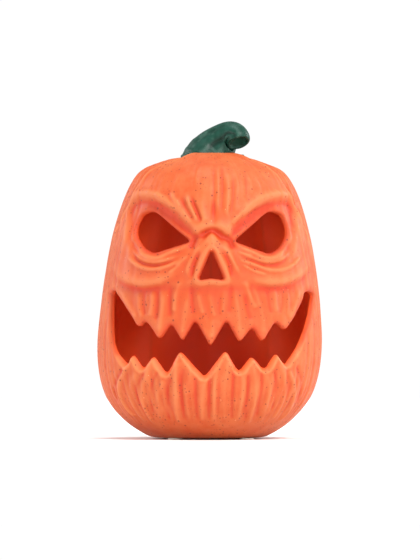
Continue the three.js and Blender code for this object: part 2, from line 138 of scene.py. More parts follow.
def nearest_on_line(x, y, line):
    """Distance of each point from a polyline, how far along it the nearest place is, and the side
    that the point is on: +1 at the left of the line's direction and -1 at its right."""
    best = np.full(x.shape, np.inf)
    along = np.zeros(x.shape)
    side = np.ones(x.shape)
    run = 0.0
    for (ax, ay), (bx, by) in zip(line[:-1], line[1:]):
        dx, dy = bx - ax, by - ay
        length = math.hypot(dx, dy)
        if length < 1e-9:
            continue
        t = np.clip(((x - ax) * dx + (y - ay) * dy) / length**2, 0, 1)
        px, py = x - ax - t * dx, y - ay - t * dy
        distance = px * px + py * py
        closer = distance < best
        best[closer] = distance[closer]
        along[closer] = (run + t * length)[closer]
        side[closer] = np.where(dx * py - dy * px >= 0, 1.0, -1.0)[closer]
        run += length
    return np.sqrt(best), along, side


def is_inside(x, y, outline):
    """Whether each point is inside a closed outline."""
    inside = np.zeros(x.shape, bool)
    for (ax, ay), (bx, by) in zip(outline[:-1], outline[1:]):
        if ay == by:
            continue
        inside ^= ((ay > y) != (by > y)) & (x < (bx - ax) * (y - ay) / (by - ay) + ax)
    return inside


def smoothstep(low, high, value):
    t = np.clip((value - low) / (high - low), 0, 1)
    return t * t * (3 - 2 * t)


def lookup(table, row, column):
    """Values of a table with several channels between its entries, by straight-line blending."""
    row = np.clip(row, 0, table.shape[0] - 1.001)
    column = np.clip(column, 0, table.shape[1] - 1.001)
    i, j = row.astype(np.int32), column.astype(np.int32)
    a = (row - i)[:, None].astype(np.float32)
    b = (column - j)[:, None].astype(np.float32)
    low = table[i, j] * (1 - b) + table[i, j + 1] * b
    high = table[i + 1, j] * (1 - b) + table[i + 1, j + 1] * b
    return (low * (1 - a) + high * a).T


def round_and(a, b, radius):
    """Field of the solid where both fields are negative, with the edge between them rounded."""
    corner = np.hypot(np.maximum(a + radius, 0), np.maximum(b + radius, 0))
    return np.minimum(np.maximum(a, b), -radius) + corner


# ------------------------------------------------------------------ the body's unrolled surface

# A place on the body is (u, v): u is the azimuth times UNROLL, so that it is close to millimetres
# round the body, and v is the distance along the profile from its start.
UNROLL = 68.0
TABLE_STEP = 0.5
profile_line = spline(BODY_PROFILE, 0.6)
profile_run = run_along(profile_line)
CREST = int(np.argmax(profile_line[:, 1]))


def radius_at(z):
    return np.interp(z, profile_line[:CREST, 1], profile_line[:CREST, 0])


def run_at(z):
    return np.interp(z, profile_line[:CREST, 1], profile_run[:CREST])


def unrolled(points):
    """(u, v) of points (x, z) of the front of the body, seen from straight in front."""
    x, z = np.array(points, float).T[:2]
    u = UNROLL * np.arcsin(np.clip(x / radius_at(z), -0.999, 0.999))
    return np.stack([u, run_at(z)], axis=1)


U_EDGE = UNROLL * math.pi
U_AXIS = np.linspace(-U_EDGE, U_EDGE, int(2 * U_EDGE / TABLE_STEP) + 1)
U_STEP = U_AXIS[1] - U_AXIS[0]
V_AXIS = np.arange(0, profile_run[-1] + TABLE_STEP, TABLE_STEP)
U, V = np.meshgrid(U_AXIS, V_AXIS, indexing="ij")
AZIMUTH = np.degrees(U / UNROLL)
HEIGHT = np.interp(V_AXIS, profile_run, profile_line[:, 1])[None, :] * np.ones_like(U)
RADIUS = np.interp(V_AXIS, profile_run, profile_line[:, 0])[None, :] * np.ones_like(U)


def window(points, reach):
    """The part of the unrolled surface within reach of some (u, v) points."""
    low, high = points.min(0) - reach, points.max(0) + reach
    i = np.clip(np.searchsorted(U_AXIS, [low[0], high[0]]), 0, len(U_AXIS))
    j = np.clip(np.searchsorted(V_AXIS, [low[1], high[1]]), 0, len(V_AXIS))
    return slice(*i), slice(*j)


def outline_field(corners, reach=60):
    """Distance from an outline on the unrolled surface, negative inside it."""
    outline = unrolled(softened(corners))
    field = np.full(U.shape, float(reach))
    part = window(outline, reach)
    distance = nearest_on_line(U[part], V[part], outline)[0]
    inside = is_inside(U[part], V[part], outline)
    field[part] = np.where(inside, -distance, distance)
    return field


def fade_along(line, along, ends):
    """1 along a line, and fading to 0 over the given shares of its length at its ends."""
    t = along / np.linalg.norm(np.diff(line, axis=0), axis=1).sum()
    return smoothstep(0, ends[0], t) * smoothstep(0, ends[1], 1 - t)


def stroke(relief, points, height, width, ends=(0.25, 0.25)):
    """Raises (or cuts, where the height is negative) a soft ridge along a curve of (x, z) points.
    It fades in and out over the given shares of its length."""
    line = unrolled(spline(points, 1.5))
    part = window(line, 3.2 * width)
    distance, along, _ = nearest_on_line(U[part], V[part], line)
    relief[part] += height * fade_along(line, along, ends) * np.exp(-((distance / width) ** 2))


def fold(relief, points, rise, reach, edge, ends=(0.25, 0.25)):
    """A fold of flesh: the surface at the left of the curve swells by the rise, falls off over its
    reach, and drops sharply at the curve itself, with a crease along its foot."""
    line = unrolled(spline(points, 1.5))
    part = window(line, 2.5 * reach)
    distance, along, side = nearest_on_line(U[part], V[part], line)
    signed = distance * side
    swell = smoothstep(-edge, edge, signed) * np.exp(-((np.maximum(signed, 0) / reach) ** 2))
    crease = np.exp(-(((signed + edge) / (1.6 * edge)) ** 2))
    relief[part] += fade_along(line, along, ends) * (rise * swell - 0.45 * rise * crease)


def area(relief, corners, height, soft_low, soft_high):
    """Raises or sinks the inside of an outline. Its edge is as soft as given at the bottom and at
    the top of the outline."""
    field = outline_field(corners, 30)
    outline = unrolled(softened(corners))
    share = smoothstep(outline[:, 1].min(), outline[:, 1].max(), V)
    soft = soft_low + (soft_high - soft_low) * share
    relief += height * smoothstep(0, 1, 0.5 - field / (2 * soft))


# ------------------------------------------------------------------ relief of the body

BACK_GROOVES = (108, 144, 180, -144, -108)   # azimuths in degrees
GROOVE_DEPTH = 2.4
# Half width of the face panel, as (height, azimuth): it narrows over the shoulders. Its left half is
# narrower still at the crown, beside the stem.
PANEL = [(112, 80.5), (123, 80), (134, 75.5), (142, 71), (148, 68.5), (160, 64), (166, 61.5), (178, 54)]
PANEL_LEFT_INSET = 12    # degrees


def lobes(relief):
    """The lobes, as the cusped grooves between them, and the edge of the wide panel with the face."""
    crown_fade = smoothstep(9, 24, RADIUS)
    rise = smoothstep(12, 40, HEIGHT) * crown_fade
    for azimuth in BACK_GROOVES:
        gap = np.abs((AZIMUTH - azimuth + 180) % 360 - 180)
        distance = np.radians(gap) * RADIUS
        relief -= GROOVE_DEPTH * rise * np.exp(-((distance / 4.2) ** 1.25))
        relief -= 0.9 * rise * np.exp(-((distance / 13) ** 2))
    panel = np.interp(HEIGHT, *zip(*PANEL))
    panel = panel - PANEL_LEFT_INSET * smoothstep(0, -10, AZIMUTH) * smoothstep(170, 178, HEIGHT)
    shoulder = smoothstep(98, 130, HEIGHT) * smoothstep(11, 24, RADIUS)
    for side in (-1, 1):
        off = np.radians(side * AZIMUTH - panel) * RADIUS
        relief -= 2.8 * shoulder * np.exp(-((np.maximum(off, 0) / 3.0) ** 1.3)) * smoothstep(-1.4, 0.8, off)
        relief += 0.6 * shoulder * np.exp(-(((off + 1.8) / 1.6) ** 2))
    # the side and back lobes are lower at the crown than the panel, which hides the foot of the stem
    behind = smoothstep(-3, 3, np.radians(np.abs(AZIMUTH) - panel) * RADIUS)
    lower = np.interp(RADIUS, [6, 15, 20, 24, 33, 40, 46], [0, 3.2, 3.2, 1.6, 1.0, 0.6, 0])
    relief -= lower * behind * smoothstep(150, 165, HEIGHT)


def ribs(relief):
    """Fine upright ribs all round, strongest on the sides and the shoulders."""
    waves = [(19, 0.6, 0.004), (31, 2.1, -0.006), (47, 4.0, 0.005), (67, 1.1, -0.004), (89, 5.2, 0.007)]
    total = np.zeros_like(U)
    for count, phase, drift in waves:
        angle = np.radians(AZIMUTH) * count + phase + drift * count * (HEIGHT - 90) * 0.1
        total += np.cos(angle) * (0.9 + 0.5 * np.cos(0.031 * HEIGHT + phase))
    crested = np.sign(total) * np.abs(total) ** 0.8
    face = smoothstep(66, 50, np.abs(AZIMUTH)) * smoothstep(30, 52, HEIGHT) * smoothstep(185, 178, HEIGHT)
    strength = (0.18 - 0.12 * face) * smoothstep(5, 24, HEIGHT) * smoothstep(12, 30, RADIUS)
    relief += strength * crested


SOCKET_RIGHT = [
    (10, 124, 4), (13.6, 132.5, 4), (27, 145, 4), (37.5, 151, 5), (49, 151.6, 5), (53.4, 146, 5),
    (53.6, 131, 6), (50, 118, 6), (40, 112.5, 6), (24, 116, 6),
]
SOCKET_LEFT = [
    (-9, 124, 4), (-12, 131.5, 4), (-23.6, 142.4, 4), (-36, 151.6, 5), (-47.8, 152, 5), (-52.4, 145.5, 5),
    (-52.8, 131, 6), (-49.4, 118, 6), (-39.5, 113, 6), (-23, 116, 6),
]
NOSE_MOUND = [
    (0.5, 132, 3), (6.8, 122, 5), (12.6, 106, 5), (13.4, 98.5, 4), (5, 95.2, 5), (-5, 95.2, 5),
    (-12.6, 98.5, 4), (-11.8, 106, 5), (-5.8, 122, 5),
]


def sockets_and_nose(relief, opening):
    depth = -3.0 - 2.0 * smoothstep(120, 144, HEIGHT) * smoothstep(52, 34, np.abs(AZIMUTH))
    area(relief, SOCKET_RIGHT, depth, 4.5, 3.2)
    area(relief, SOCKET_LEFT, depth, 4.5, 3.2)
    area(relief, NOSE_MOUND, 1.7, 4.5, 2.0)
    # brows: they overhang the sockets
    for brow in ([(53, 138), (54.6, 147), (48.5, 154.6), (36, 153.6), (23, 146), (10.5, 134)],
                 [(-52, 138), (-53.8, 147), (-47.4, 154.8), (-35, 154), (-20.5, 144.5), (-8.5, 133.6)]):
        stroke(relief, brow, 0.8, 2.4, (0.45, 0.25))
    # rims of the nose hole and of the eyes
    relief += 1.2 * np.exp(-(((opening["nose"] - 2.4) / 1.3) ** 2))
    for side in ("eye_right", "eye_left"):
        relief += 1.1 * np.exp(-(((opening[side] - 1.7) / 1.5) ** 2)) * smoothstep(140, 126, HEIGHT)
    # nose bridge, and the furrows and ridges that run down beside it
    stroke(relief, [(0.5, 130), (0.6, 125), (0.5, 120)], 1.0, 2.4)
    stroke(relief, [(7.5, 119), (11.6, 110), (12.8, 100)], -1.1, 1.3)
    stroke(relief, [(-6.4, 119), (-10.6, 110), (-12, 100)], -1.1, 1.3)
    stroke(relief, [(6, 124), (10.8, 117), (15.4, 109), (18.5, 102)], 1.2, 1.7)
    stroke(relief, [(-5.5, 124), (-9.8, 117), (-13.8, 109), (-16, 101)], 1.1, 1.7)
    # hollows at the inner corners of the eyes
    stroke(relief, [(8.6, 130), (12.4, 124.6), (14.4, 119)], -1.5, 2.2)
    stroke(relief, [(-7.8, 130), (-11.6, 124.6), (-13.4, 119)], -1.5, 2.2)


def forehead(relief):
    # the forehead bulges over the root of the nose, and a deep frown crease runs under it
    fold(relief, [(-11, 127.5), (-8.2, 130), (-3, 132), (1.8, 132.8), (6.5, 130.8), (10.8, 127.2),
                  (12.6, 123.6)], 1.7, 6, 2.1, (0.2, 0.2))
    stroke(relief, [(-9.6, 126.4), (-5, 129), (1.6, 130.8), (7, 128.2), (11.2, 124.4)], -1.7, 2.8)
    grooves = [
        ([(0.9, 176), (1.2, 162), (1.3, 150), (1.3, 137)], -0.7, 1.2),
        ([(1.3, 152), (1.5, 142), (1.4, 133)], -0.9, 2.3),
        ([(6.0, 174), (6.9, 158), (6.2, 142)], -0.65, 1.2),
        ([(13.6, 168), (13.6, 153), (11.6, 140)], -0.6, 1.5),
        ([(21.4, 168), (21.8, 158), (21.4, 150)], -0.45, 1.4),
        ([(-13.4, 154), (-10.4, 146), (-6, 136)], -1.5, 1.3),
        ([(-20, 154), (-16.6, 146), (-11.4, 137)], -1.0, 1.8),
        ([(-28, 153), (-24, 147), (-18, 141)], -0.7, 1.7),
        ([(-31.6, 150.4), (-26.4, 145.2), (-20, 141)], -0.8, 1.3),
        ([(23.8, 143.8), (19.6, 139.8), (14.6, 135)], -0.9, 1.2),
        ([(34.4, 147.6), (28, 144.6), (21.4, 140.2)], -0.6, 1.5),
        ([(22.4, 147), (18.4, 143.6), (15, 141)], -0.5, 1.2),
    ]
    ridges = [
        ([(-8.4, 152.6), (-6.2, 145), (-3.4, 136)], 1.0, 2.6),
        ([(-16.6, 155.6), (-13.2, 146.4), (-8, 136.6)], 1.5, 1.3),
        ([(-26, 157), (-23.2, 151), (-18.8, 145.4)], 1.0, 1.3),
        ([(-20, 146), (-16, 141), (-12, 136.4)], 0.6, 1.4),
        ([(-36, 154.8), (-33, 152.2), (-29.6, 149.6)], 0.7, 1.5),
        ([(3.6, 174), (4, 158), (3.8, 142)], 0.6, 1.2),
        ([(10.2, 170), (10.6, 153), (9.0, 139)], 0.7, 1.8),
        ([(22.2, 144.8), (17.6, 140.2), (13, 135.6)], 1.5, 1.1),
        ([(30, 147.4), (24.6, 144.2), (19, 139.6)], 0.6, 1.3),
    ]
    for points, height, width in grooves + ridges:
        stroke(relief, points, 0.88 * height, 1.08 * width, (0.35, 0.15))
    # faint upright ridges on the rest of the forehead, gathered towards the stem
    for x, top, low, height in [(17.4, 172, 152, 0.4), (26, 170, 152, 0.4), (31.4, 168, 151, 0.35),
                                (37, 165, 152, 0.35), (43.6, 160, 151, 0.3), (-10, 172, 158, 0.35),
                                (-15.4, 171, 160, 0.3), (-22.6, 168, 159, 0.25)]:
        stroke(relief, [(0.8 * x, top), (0.95 * x, (top + low) / 2), (x, low)], height, 1.3, (0.4, 0.4))


def cheeks(relief):
    # lower lids
    stroke(relief, [(13.5, 122.6), (26.9, 117.6), (35.3, 114.2), (42.5, 115.6), (48.5, 121.5)], 1.9, 1.4)
    stroke(relief, [(-12.5, 122.2), (-25.2, 117.8), (-34.5, 114.4), (-42.5, 116.2), (-48, 122.5)], 1.9, 1.4)
    fold(relief, [(14.5, 118.5), (25, 113.6), (35.3, 110.6), (44.6, 112.4), (51.5, 119)], 1.5, 4, 0.8)
    fold(relief, [(-51, 120), (-44.4, 112.8), (-35.8, 110.4), (-27.5, 111.8), (-17.5, 116)], 1.5, 4, 0.8)
    stroke(relief, [(17, 115.4), (28.8, 109.2), (38.1, 106.4), (48.4, 108.2), (58.5, 117)], 1.3, 1.2)
    stroke(relief, [(-15, 116), (-25, 109.8), (-35.5, 107), (-44.6, 108.8), (-54, 116)], 1.3, 1.2)
    # small slanting wrinkles beside the nose
    stroke(relief, [(18.3, 110.4), (26.9, 106), (35.5, 103.4)], 1.3, 0.9)
    stroke(relief, [(17.3, 113.2), (23.5, 110.6), (28.6, 109)], 0.9, 0.8)
    stroke(relief, [(16.2, 118.8), (21.8, 116.4), (27, 115.4)], 0.8, 0.8)
    stroke(relief, [(-17.8, 111), (-22.5, 107.2), (-27, 104)], 0.9, 0.9)
    stroke(relief, [(-13.8, 116), (-18, 112), (-23, 109)], 0.9, 0.9)
    # bags under the eyes: they hang over the lip, which lies deeper
    fold(relief, [(17, 104.5), (24.5, 100), (38.1, 97), (50.6, 99.2), (59, 104), (64.6, 113)], 1.7, 8, 2.2,
         (0.3, 0.45))
    fold(relief, [(-64, 111), (-58.5, 102), (-50.3, 98), (-41, 96.2), (-30, 98.8), (-21, 104), (-14.5, 111)],
         1.7, 8, 2.2, (0.45, 0.3))
    lip = smoothstep(99, 94, HEIGHT) * smoothstep(60, 72, HEIGHT) * smoothstep(60, 44, np.abs(AZIMUTH))
    relief -= 1.1 * lip


def lips(relief, mouth):
    """Folds that fan out above the upper teeth, and flutes that run down below the lower ones."""
    above = [
        ([(-58, 92), (-52.2, 85.4), (-46.8, 76)], 1.0, 1.8),
        ([(-45.8, 91), (-45.6, 83), (-43.4, 77)], 0.8, 1.5),
        ([(-37.2, 92), (-37.2, 85), (-38.6, 77)], 1.1, 1.5),
        ([(-29.8, 91), (-30.6, 81), (-32.5, 68)], 0.9, 1.7),
        ([(-18.9, 97), (-22.3, 90), (-23.4, 80)], 1.0, 1.5),
        ([(-14.6, 88), (-16.4, 78), (-17.4, 67)], 0.8, 1.8),
        ([(-8.6, 90), (-6.2, 84.5), (-4.6, 79)], 0.9, 1.3),
        ([(-1.6, 90), (1.2, 82), (3.4, 77)], 0.8, 1.4), ([(1, 74), (0.8, 69), (0.7, 64)], 0.7, 2.0),
        ([(8.4, 93), (8.0, 86), (7.2, 78)], 0.7, 1.3), ([(20.4, 98), (25.2, 90), (29, 82)], 1.2, 1.7),
        ([(15.2, 92), (17.6, 80), (19, 67)], 0.9, 1.7), ([(26.2, 94), (29.4, 89), (31.6, 84)], 0.8, 1.2),
        ([(31.2, 84), (33.2, 75), (33.9, 67)], 0.8, 1.7),
        ([(40.6, 92), (41.2, 85), (42.4, 80)], 0.8, 1.5),
        ([(56.4, 92), (53.2, 84), (49.6, 76)], 1.0, 1.7),
        ([(48.8, 91), (49.2, 84), (48.6, 78)], 0.6, 1.3),
    ]
    between = [
        ([(-42.4, 91), (-42.8, 84), (-41.4, 78)], -0.8, 1.4),
        ([(-33.6, 93), (-34, 84), (-34.6, 75)], -0.9, 1.5),
        ([(-25.6, 95), (-26.2, 86), (-25.6, 77)], -1.0, 1.6),
        ([(-12.4, 95), (-12, 86), (-10.4, 79)], -0.9, 1.5),
        ([(5.6, 88), (5.8, 82), (6.6, 78)], -0.7, 1.2), ([(13.4, 97), (12.4, 88), (11.4, 79)], -0.8, 1.4),
        ([(21.2, 90), (23.6, 82), (26, 75)], -1.0, 1.5), ([(36, 94), (37.4, 86), (39, 79)], -0.9, 1.6),
        ([(45.6, 92), (45.6, 85), (44.6, 79)], -0.7, 1.4),
    ]
    below = [
        ([(-50.4, 48), (-55.6, 36), (-53.6, 24), (-44, 13)], 1.7, 2.0),
        ([(-45.4, 43), (-49, 33), (-46.4, 21), (-39, 11)], 0.7, 1.8),
        ([(-36.4, 48), (-41, 34), (-40, 22), (-34, 10)], 1.1, 1.7),
        ([(-28.2, 38), (-32, 26), (-29, 12)], 0.8, 1.7),
        ([(-19.8, 50), (-21, 38), (-20.4, 24), (-18, 10)], 1.2, 2.0),
        ([(-11.4, 46), (-13, 32), (-11, 12)], 0.7, 1.8), ([(-3.2, 37), (-3.8, 28), (-3.4, 12)], 0.9, 1.8),
        ([(6.4, 48), (3.6, 34), (4.4, 12)], 0.9, 1.8), ([(11.4, 50), (10.4, 36), (10, 12)], 1.1, 1.7),
        ([(20.4, 41), (20.6, 30), (19.6, 12)], 0.8, 1.8),
        ([(27.8, 48), (29.2, 36), (28.4, 22), (25.6, 10)], 1.2, 1.8),
        ([(36.4, 42), (37.8, 32), (36.6, 20), (32, 10)], 0.9, 1.7),
        ([(43.8, 49), (47.6, 38), (46.6, 24), (40, 12)], 1.2, 1.9),
        ([(50.2, 44), (53.6, 32), (51.6, 20), (44.4, 11)], 1.5, 1.8),
    ]
    hollows = [
        ([(-54, 45), (-59.4, 34), (-57, 22)], -1.0, 2.0),
        ([(-40.6, 43), (-45.2, 32), (-43, 20)], -0.8, 1.6),
        ([(-32, 44), (-36.4, 32), (-34.4, 16)], -0.8, 1.5),
        ([(-24, 40), (-25.8, 28), (-24, 12)], -0.9, 1.6), ([(-16, 46), (-17, 32), (-15, 12)], -0.8, 1.4),
        ([(-7.6, 41), (-8.2, 28), (-7, 12)], -0.7, 1.5), ([(0.4, 40), (0, 28), (0.6, 12)], -0.8, 1.5),
        ([(15.6, 46), (15.4, 32), (15, 12)], -1.1, 1.5), ([(24.2, 42), (25, 30), (23, 12)], -0.9, 1.5),
        ([(32.4, 44), (33.6, 32), (30.4, 14)], -0.8, 1.4),
        ([(40.4, 45), (42.8, 34), (40, 18)], -0.9, 1.6),
        ([(54.6, 47), (58.4, 36), (56.4, 22)], -1.0, 2.0),
    ]
    for points, height, width in above + between:
        start = (points[0][0], points[0][1] + 4)
        stroke(relief, [start, *points[1:]], 0.8 * height, 1.08 * width, (0.3, 0.1))
    for points, height, width in below + hollows:
        stroke(relief, points, 0.75 * height, 0.9 * width, (0.06, 0.12))
    # the upper teeth roll over softly towards the cut
    upper = smoothstep(56, 68, HEIGHT)
    relief -= 0.8 * upper * np.clip((4.5 - mouth) / 4.5, 0, 1) ** 2


# Slant of the cut under the lower teeth: how far its outer edge is beyond the inner one, by height.
SLANT = [(38, 3.1), (46, 2.9), (52, 2.0), (57, 1.0), (66, 0.4), (72, 0)]


def blurred(values, sigma):
    """The values blurred by a Gaussian of that width in millimetres."""
    pad = int(4 * sigma / TABLE_STEP)
    padded = np.pad(values, ((0, 0), (pad, pad)), mode="edge")
    fu = np.fft.fftfreq(padded.shape[0], U_STEP)[:, None]
    fv = np.fft.rfftfreq(padded.shape[1], TABLE_STEP)[None, :]
    low_pass = np.exp(-2 * (math.pi * sigma) ** 2 * (fu**2 + fv**2))
    smooth = np.fft.irfft2(np.fft.rfft2(padded) * low_pass, padded.shape)
    return smooth[:, pad:-pad]


def relief_table():
    """Relief of the outside, relief of the inside, distance from the openings, how far a place stands
    proud of what is round it, and the slant of the cut, for each place of the unrolled surface."""
    opening = {
        "eye_right": outline_field(EYE_RIGHT),
        "eye_left": outline_field(EYE_LEFT),
        "nose": outline_field(NOSE),
        "mouth": outline_field(MOUTH),
    }
    relief = np.zeros_like(U)
    lobes(relief)
    ribs(relief)
    sockets_and_nose(relief, opening)
    forehead(relief)
    cheeks(relief)
    lips(relief, opening["mouth"])
    relief = blurred(relief, 0.4)
    proud = relief - blurred(relief, 2.2) + 0.3 * (relief - blurred(relief, 8))
    nearest = np.minimum.reduce(list(opening.values()))
    slant = np.interp(HEIGHT, *zip(*SLANT)) * smoothstep(62, 52, np.abs(AZIMUTH))
    slant += 1.3 * smoothstep(48, 56, AZIMUTH) * smoothstep(92, 80, HEIGHT) * smoothstep(46, 56, HEIGHT)
    return np.stack([relief, 0.85 * blurred(relief, 3.5), nearest, proud, slant], axis=2).astype(np.float32)


PROFILE_TABLE_LOW, PROFILE_TABLE_HIGH, PROFILE_TABLE_OUT = -12, 196, 88


def profile_table():
    """Distance from the profile, negative inside, and the run of the nearest place on it."""
    out = np.arange(0, PROFILE_TABLE_OUT, TABLE_STEP)
    up = np.arange(PROFILE_TABLE_LOW, PROFILE_TABLE_HIGH, TABLE_STEP)
    rho, z = np.meshgrid(out, up, indexing="ij")
    distance, along, _ = nearest_on_line(rho, z, profile_line)
    closed = np.vstack([profile_line, profile_line[:1]])
    inside = is_inside(rho, z, closed)
    return np.stack([np.where(inside, -distance, distance), along], axis=2).astype(np.float32)


body_profile = profile_table()
body_relief = relief_table()


def surface_terms(points):
    """For points in millimetres: the distances from the outer surface, from the cavity and from the
    nearest opening's side, how proud the place is, and the radius that the cut edges have there."""
    z = points[:, 2]
    x = points[:, 0] - np.interp(z, *zip(*LEAN))
    y = points[:, 1]
    rho = np.hypot(x, y)
    depth, run = lookup(body_profile, rho / TABLE_STEP, (z - PROFILE_TABLE_LOW) / TABLE_STEP)
    u = np.arctan2(x, -y) * UNROLL
    place = ((u + U_EDGE) / U_STEP, run / TABLE_STEP)
    relief, inner, opening, proud, slant = lookup(body_relief, *place)
    bare = depth - relief
    opening = opening - slant * np.clip(1 + bare / WALL, 0, 1)
    rounding = EDGE_ROUNDING - 0.25 * np.minimum(slant, 2.4)
    outer = round_and(bare, FOOT_HEIGHT - z, FOOT_ROUNDING)
    cavity = round_and(depth + WALL - inner, FLOOR_TOP - z, CAVITY_ROUNDING)
    return outer, cavity, opening, proud, rounding


def body_field(points):
    """Field of the body's wall: negative in the ceramic."""
    outer, cavity, opening, _, rounding = surface_terms(points)
    rho = np.hypot(points[:, 0], points[:, 1])
    z = points[:, 2]
    wall = round_and(np.maximum(outer, -cavity), -opening, rounding)
    wall = round_and(wall, -np.maximum(rho - BASE_HOLE_RADIUS, z - BASE_HOLE_TOP), HOLE_ROUNDING)
    return round_and(wall, -np.maximum(rho - RECESS_RADIUS, z - RECESS_TOP), RECESS_ROUNDING)


# ------------------------------------------------------------------ meshing


def gradient(field, points, step=0.35):
    """Slope of a field at each point."""
    out = np.empty_like(points)
    for axis in range(3):
        offset = np.zeros(3)
        offset[axis] = step
        out[:, axis] = (field(points + offset) - field(points - offset)) / (2 * step)
    return out


def settle(field, points, rounds, furthest=0.5):
    """Moves points onto the surface of a field."""
    for _ in range(rounds):
        slope = gradient(field, points)
        step = field(points) / np.maximum((slope**2).sum(1), 0.2)
        move = -step[:, None] * slope
        length = np.linalg.norm(move, axis=1)[:, None]
        points = points + move * np.minimum(1, furthest / np.maximum(length, 1e-9))
    return points


def surface_net(values, low, step):
    """Vertices and quads of the surface where a grid of values changes sign."""
    inside = values < 0
    corners = [(i, j, k) for i in (0, 1) for j in (0, 1) for k in (0, 1)]
    nx, ny, nz = values.shape
    count = np.zeros((nx - 1, ny - 1, nz - 1), np.int8)
    for i, j, k in corners:
        count += inside[i : nx - 1 + i, j : ny - 1 + j, k : nz - 1 + k]
    cells = np.argwhere((count > 0) & (count < 8))
    index = np.full(count.shape, -1, np.int32)
    index[tuple(cells.T)] = np.arange(len(cells))
    at = {c: values[cells[:, 0] + c[0], cells[:, 1] + c[1], cells[:, 2] + c[2]] for c in corners}
    total = np.zeros((len(cells), 3))
    hits = np.zeros(len(cells))
    for a in corners:
        for axis in range(3):
            if a[axis]:
                continue
            b = tuple(1 if n == axis else a[n] for n in range(3))
            crossing = (at[a] < 0) != (at[b] < 0)
            t = np.where(crossing, at[a] / np.where(crossing, at[a] - at[b], 1), 0)
            place = np.array(a, float)[None, :] + t[:, None] * np.eye(3)[axis][None, :]
            total += place * crossing[:, None]
            hits += crossing
    vertices = low + step * (cells + total / hits[:, None])
    quads = []
    for axis in range(3):
        one, two = [n for n in range(3) if n != axis]
        first = inside[tuple(slice(0, -1) if n == axis else slice(1, -1) for n in range(3))]
        last = inside[tuple(slice(1, None) if n == axis else slice(1, -1) for n in range(3))]
        edges = np.argwhere(first != last)
        outward = first[tuple(edges.T)]
        ring = []
        for p, q in ((-1, -1), (0, -1), (0, 0), (-1, 0)):
            cell = edges.copy()
            cell[:, one] += 1 + p
            cell[:, two] += 1 + q
            ring.append(index[tuple(cell.T)])
        ring = np.stack(ring, axis=1)
        flip = outward if axis != 1 else ~outward
        quads.append(np.where(flip[:, None], ring, ring[:, ::-1]))
    return vertices, np.vstack(quads)


def mesh_object(name, vertices, faces):
    """A mesh object from vertices in metres and faces of one size."""
    mesh = bpy.data.meshes.new(name)
    faces = np.asarray(faces, np.int32)
    mesh.vertices.add(len(vertices))
    mesh.vertices.foreach_set("co", np.asarray(vertices, np.float32).ravel())
    mesh.loops.add(faces.size)
    mesh.loops.foreach_set("vertex_index", faces.ravel())
    mesh.polygons.add(len(faces))
    mesh.polygons.foreach_set("loop_start", np.arange(0, faces.size, faces.shape[1], dtype=np.int32))
    mesh.update(calc_edges=True)
    mesh.validate()
    made = bpy.data.objects.new(name, mesh)
    bpy.context.scene.collection.objects.link(made)
    return made


def apply_modifiers(made):
    """Replaces an object's mesh by what its modifiers make of it."""
    bpy.context.view_layer.update()
    graph = bpy.context.evaluated_depsgraph_get()
    mesh = bpy.data.meshes.new_from_object(made.evaluated_get(graph))
    made.modifiers.clear()
    old, made.data = made.data, mesh
    mesh.name = made.name
    bpy.data.meshes.remove(old)


def float_attribute(mesh, name, values):
    mesh.attributes.new(name, "FLOAT", "POINT").data.foreach_set("value", np.asarray(values, np.float32))


SHELL_GRID_STEP = 0.8
SHELL_GRID_MARGIN = 3.0  # beside the body
SHELL_GRID_LOW, SHELL_GRID_TALL = -1.2, 186.0
WALL_BAND = (-13, 6)     # distances from the profile between which the wall lies
BASE_BAND = 12           # below this height the base lies inside that band too
SHELL_TRIANGLES = 190_000


def make_shell():
    """The body's wall as one mesh, thinned to the number of triangles that the export keeps."""
    step = SHELL_GRID_STEP
    edge, across = -BODY_RADIUS - SHELL_GRID_MARGIN, 2 * BODY_RADIUS + 2 * SHELL_GRID_MARGIN
    low = np.array([edge, edge, SHELL_GRID_LOW])
    size = np.array([across, across, SHELL_GRID_TALL])
    axes = [low[n] + step * np.arange(int(size[n] / step) + 1) for n in range(3)]
    flat = np.hypot(axes[0][:, None], axes[1][None, :])
    rough = body_profile[
        np.clip((flat / TABLE_STEP).astype(int), 0, body_profile.shape[0] - 1)[:, :, None],
        ((axes[2] - PROFILE_TABLE_LOW) / TABLE_STEP).astype(int)[None, None, :],
        0,
    ]
    near = (rough < WALL_BAND[1]) & ((rough > WALL_BAND[0]) | (axes[2] < BASE_BAND)[None, None, :])
    cells = np.argwhere(near)
    values = np.ones(near.shape, np.float32)
    points = low + step * cells
    values[near] = body_field(points)
    vertices, quads = surface_net(values, low, step)
    vertices = settle(body_field, vertices, 2)
    shell = mesh_object("glazed_shell", vertices * MM, quads)
    triangles = 2 * len(quads)
    thin = shell.modifiers.new("thin", "DECIMATE")
    thin.ratio = min(1.0, SHELL_TRIANGLES / triangles)
    apply_modifiers(shell)
    return shell


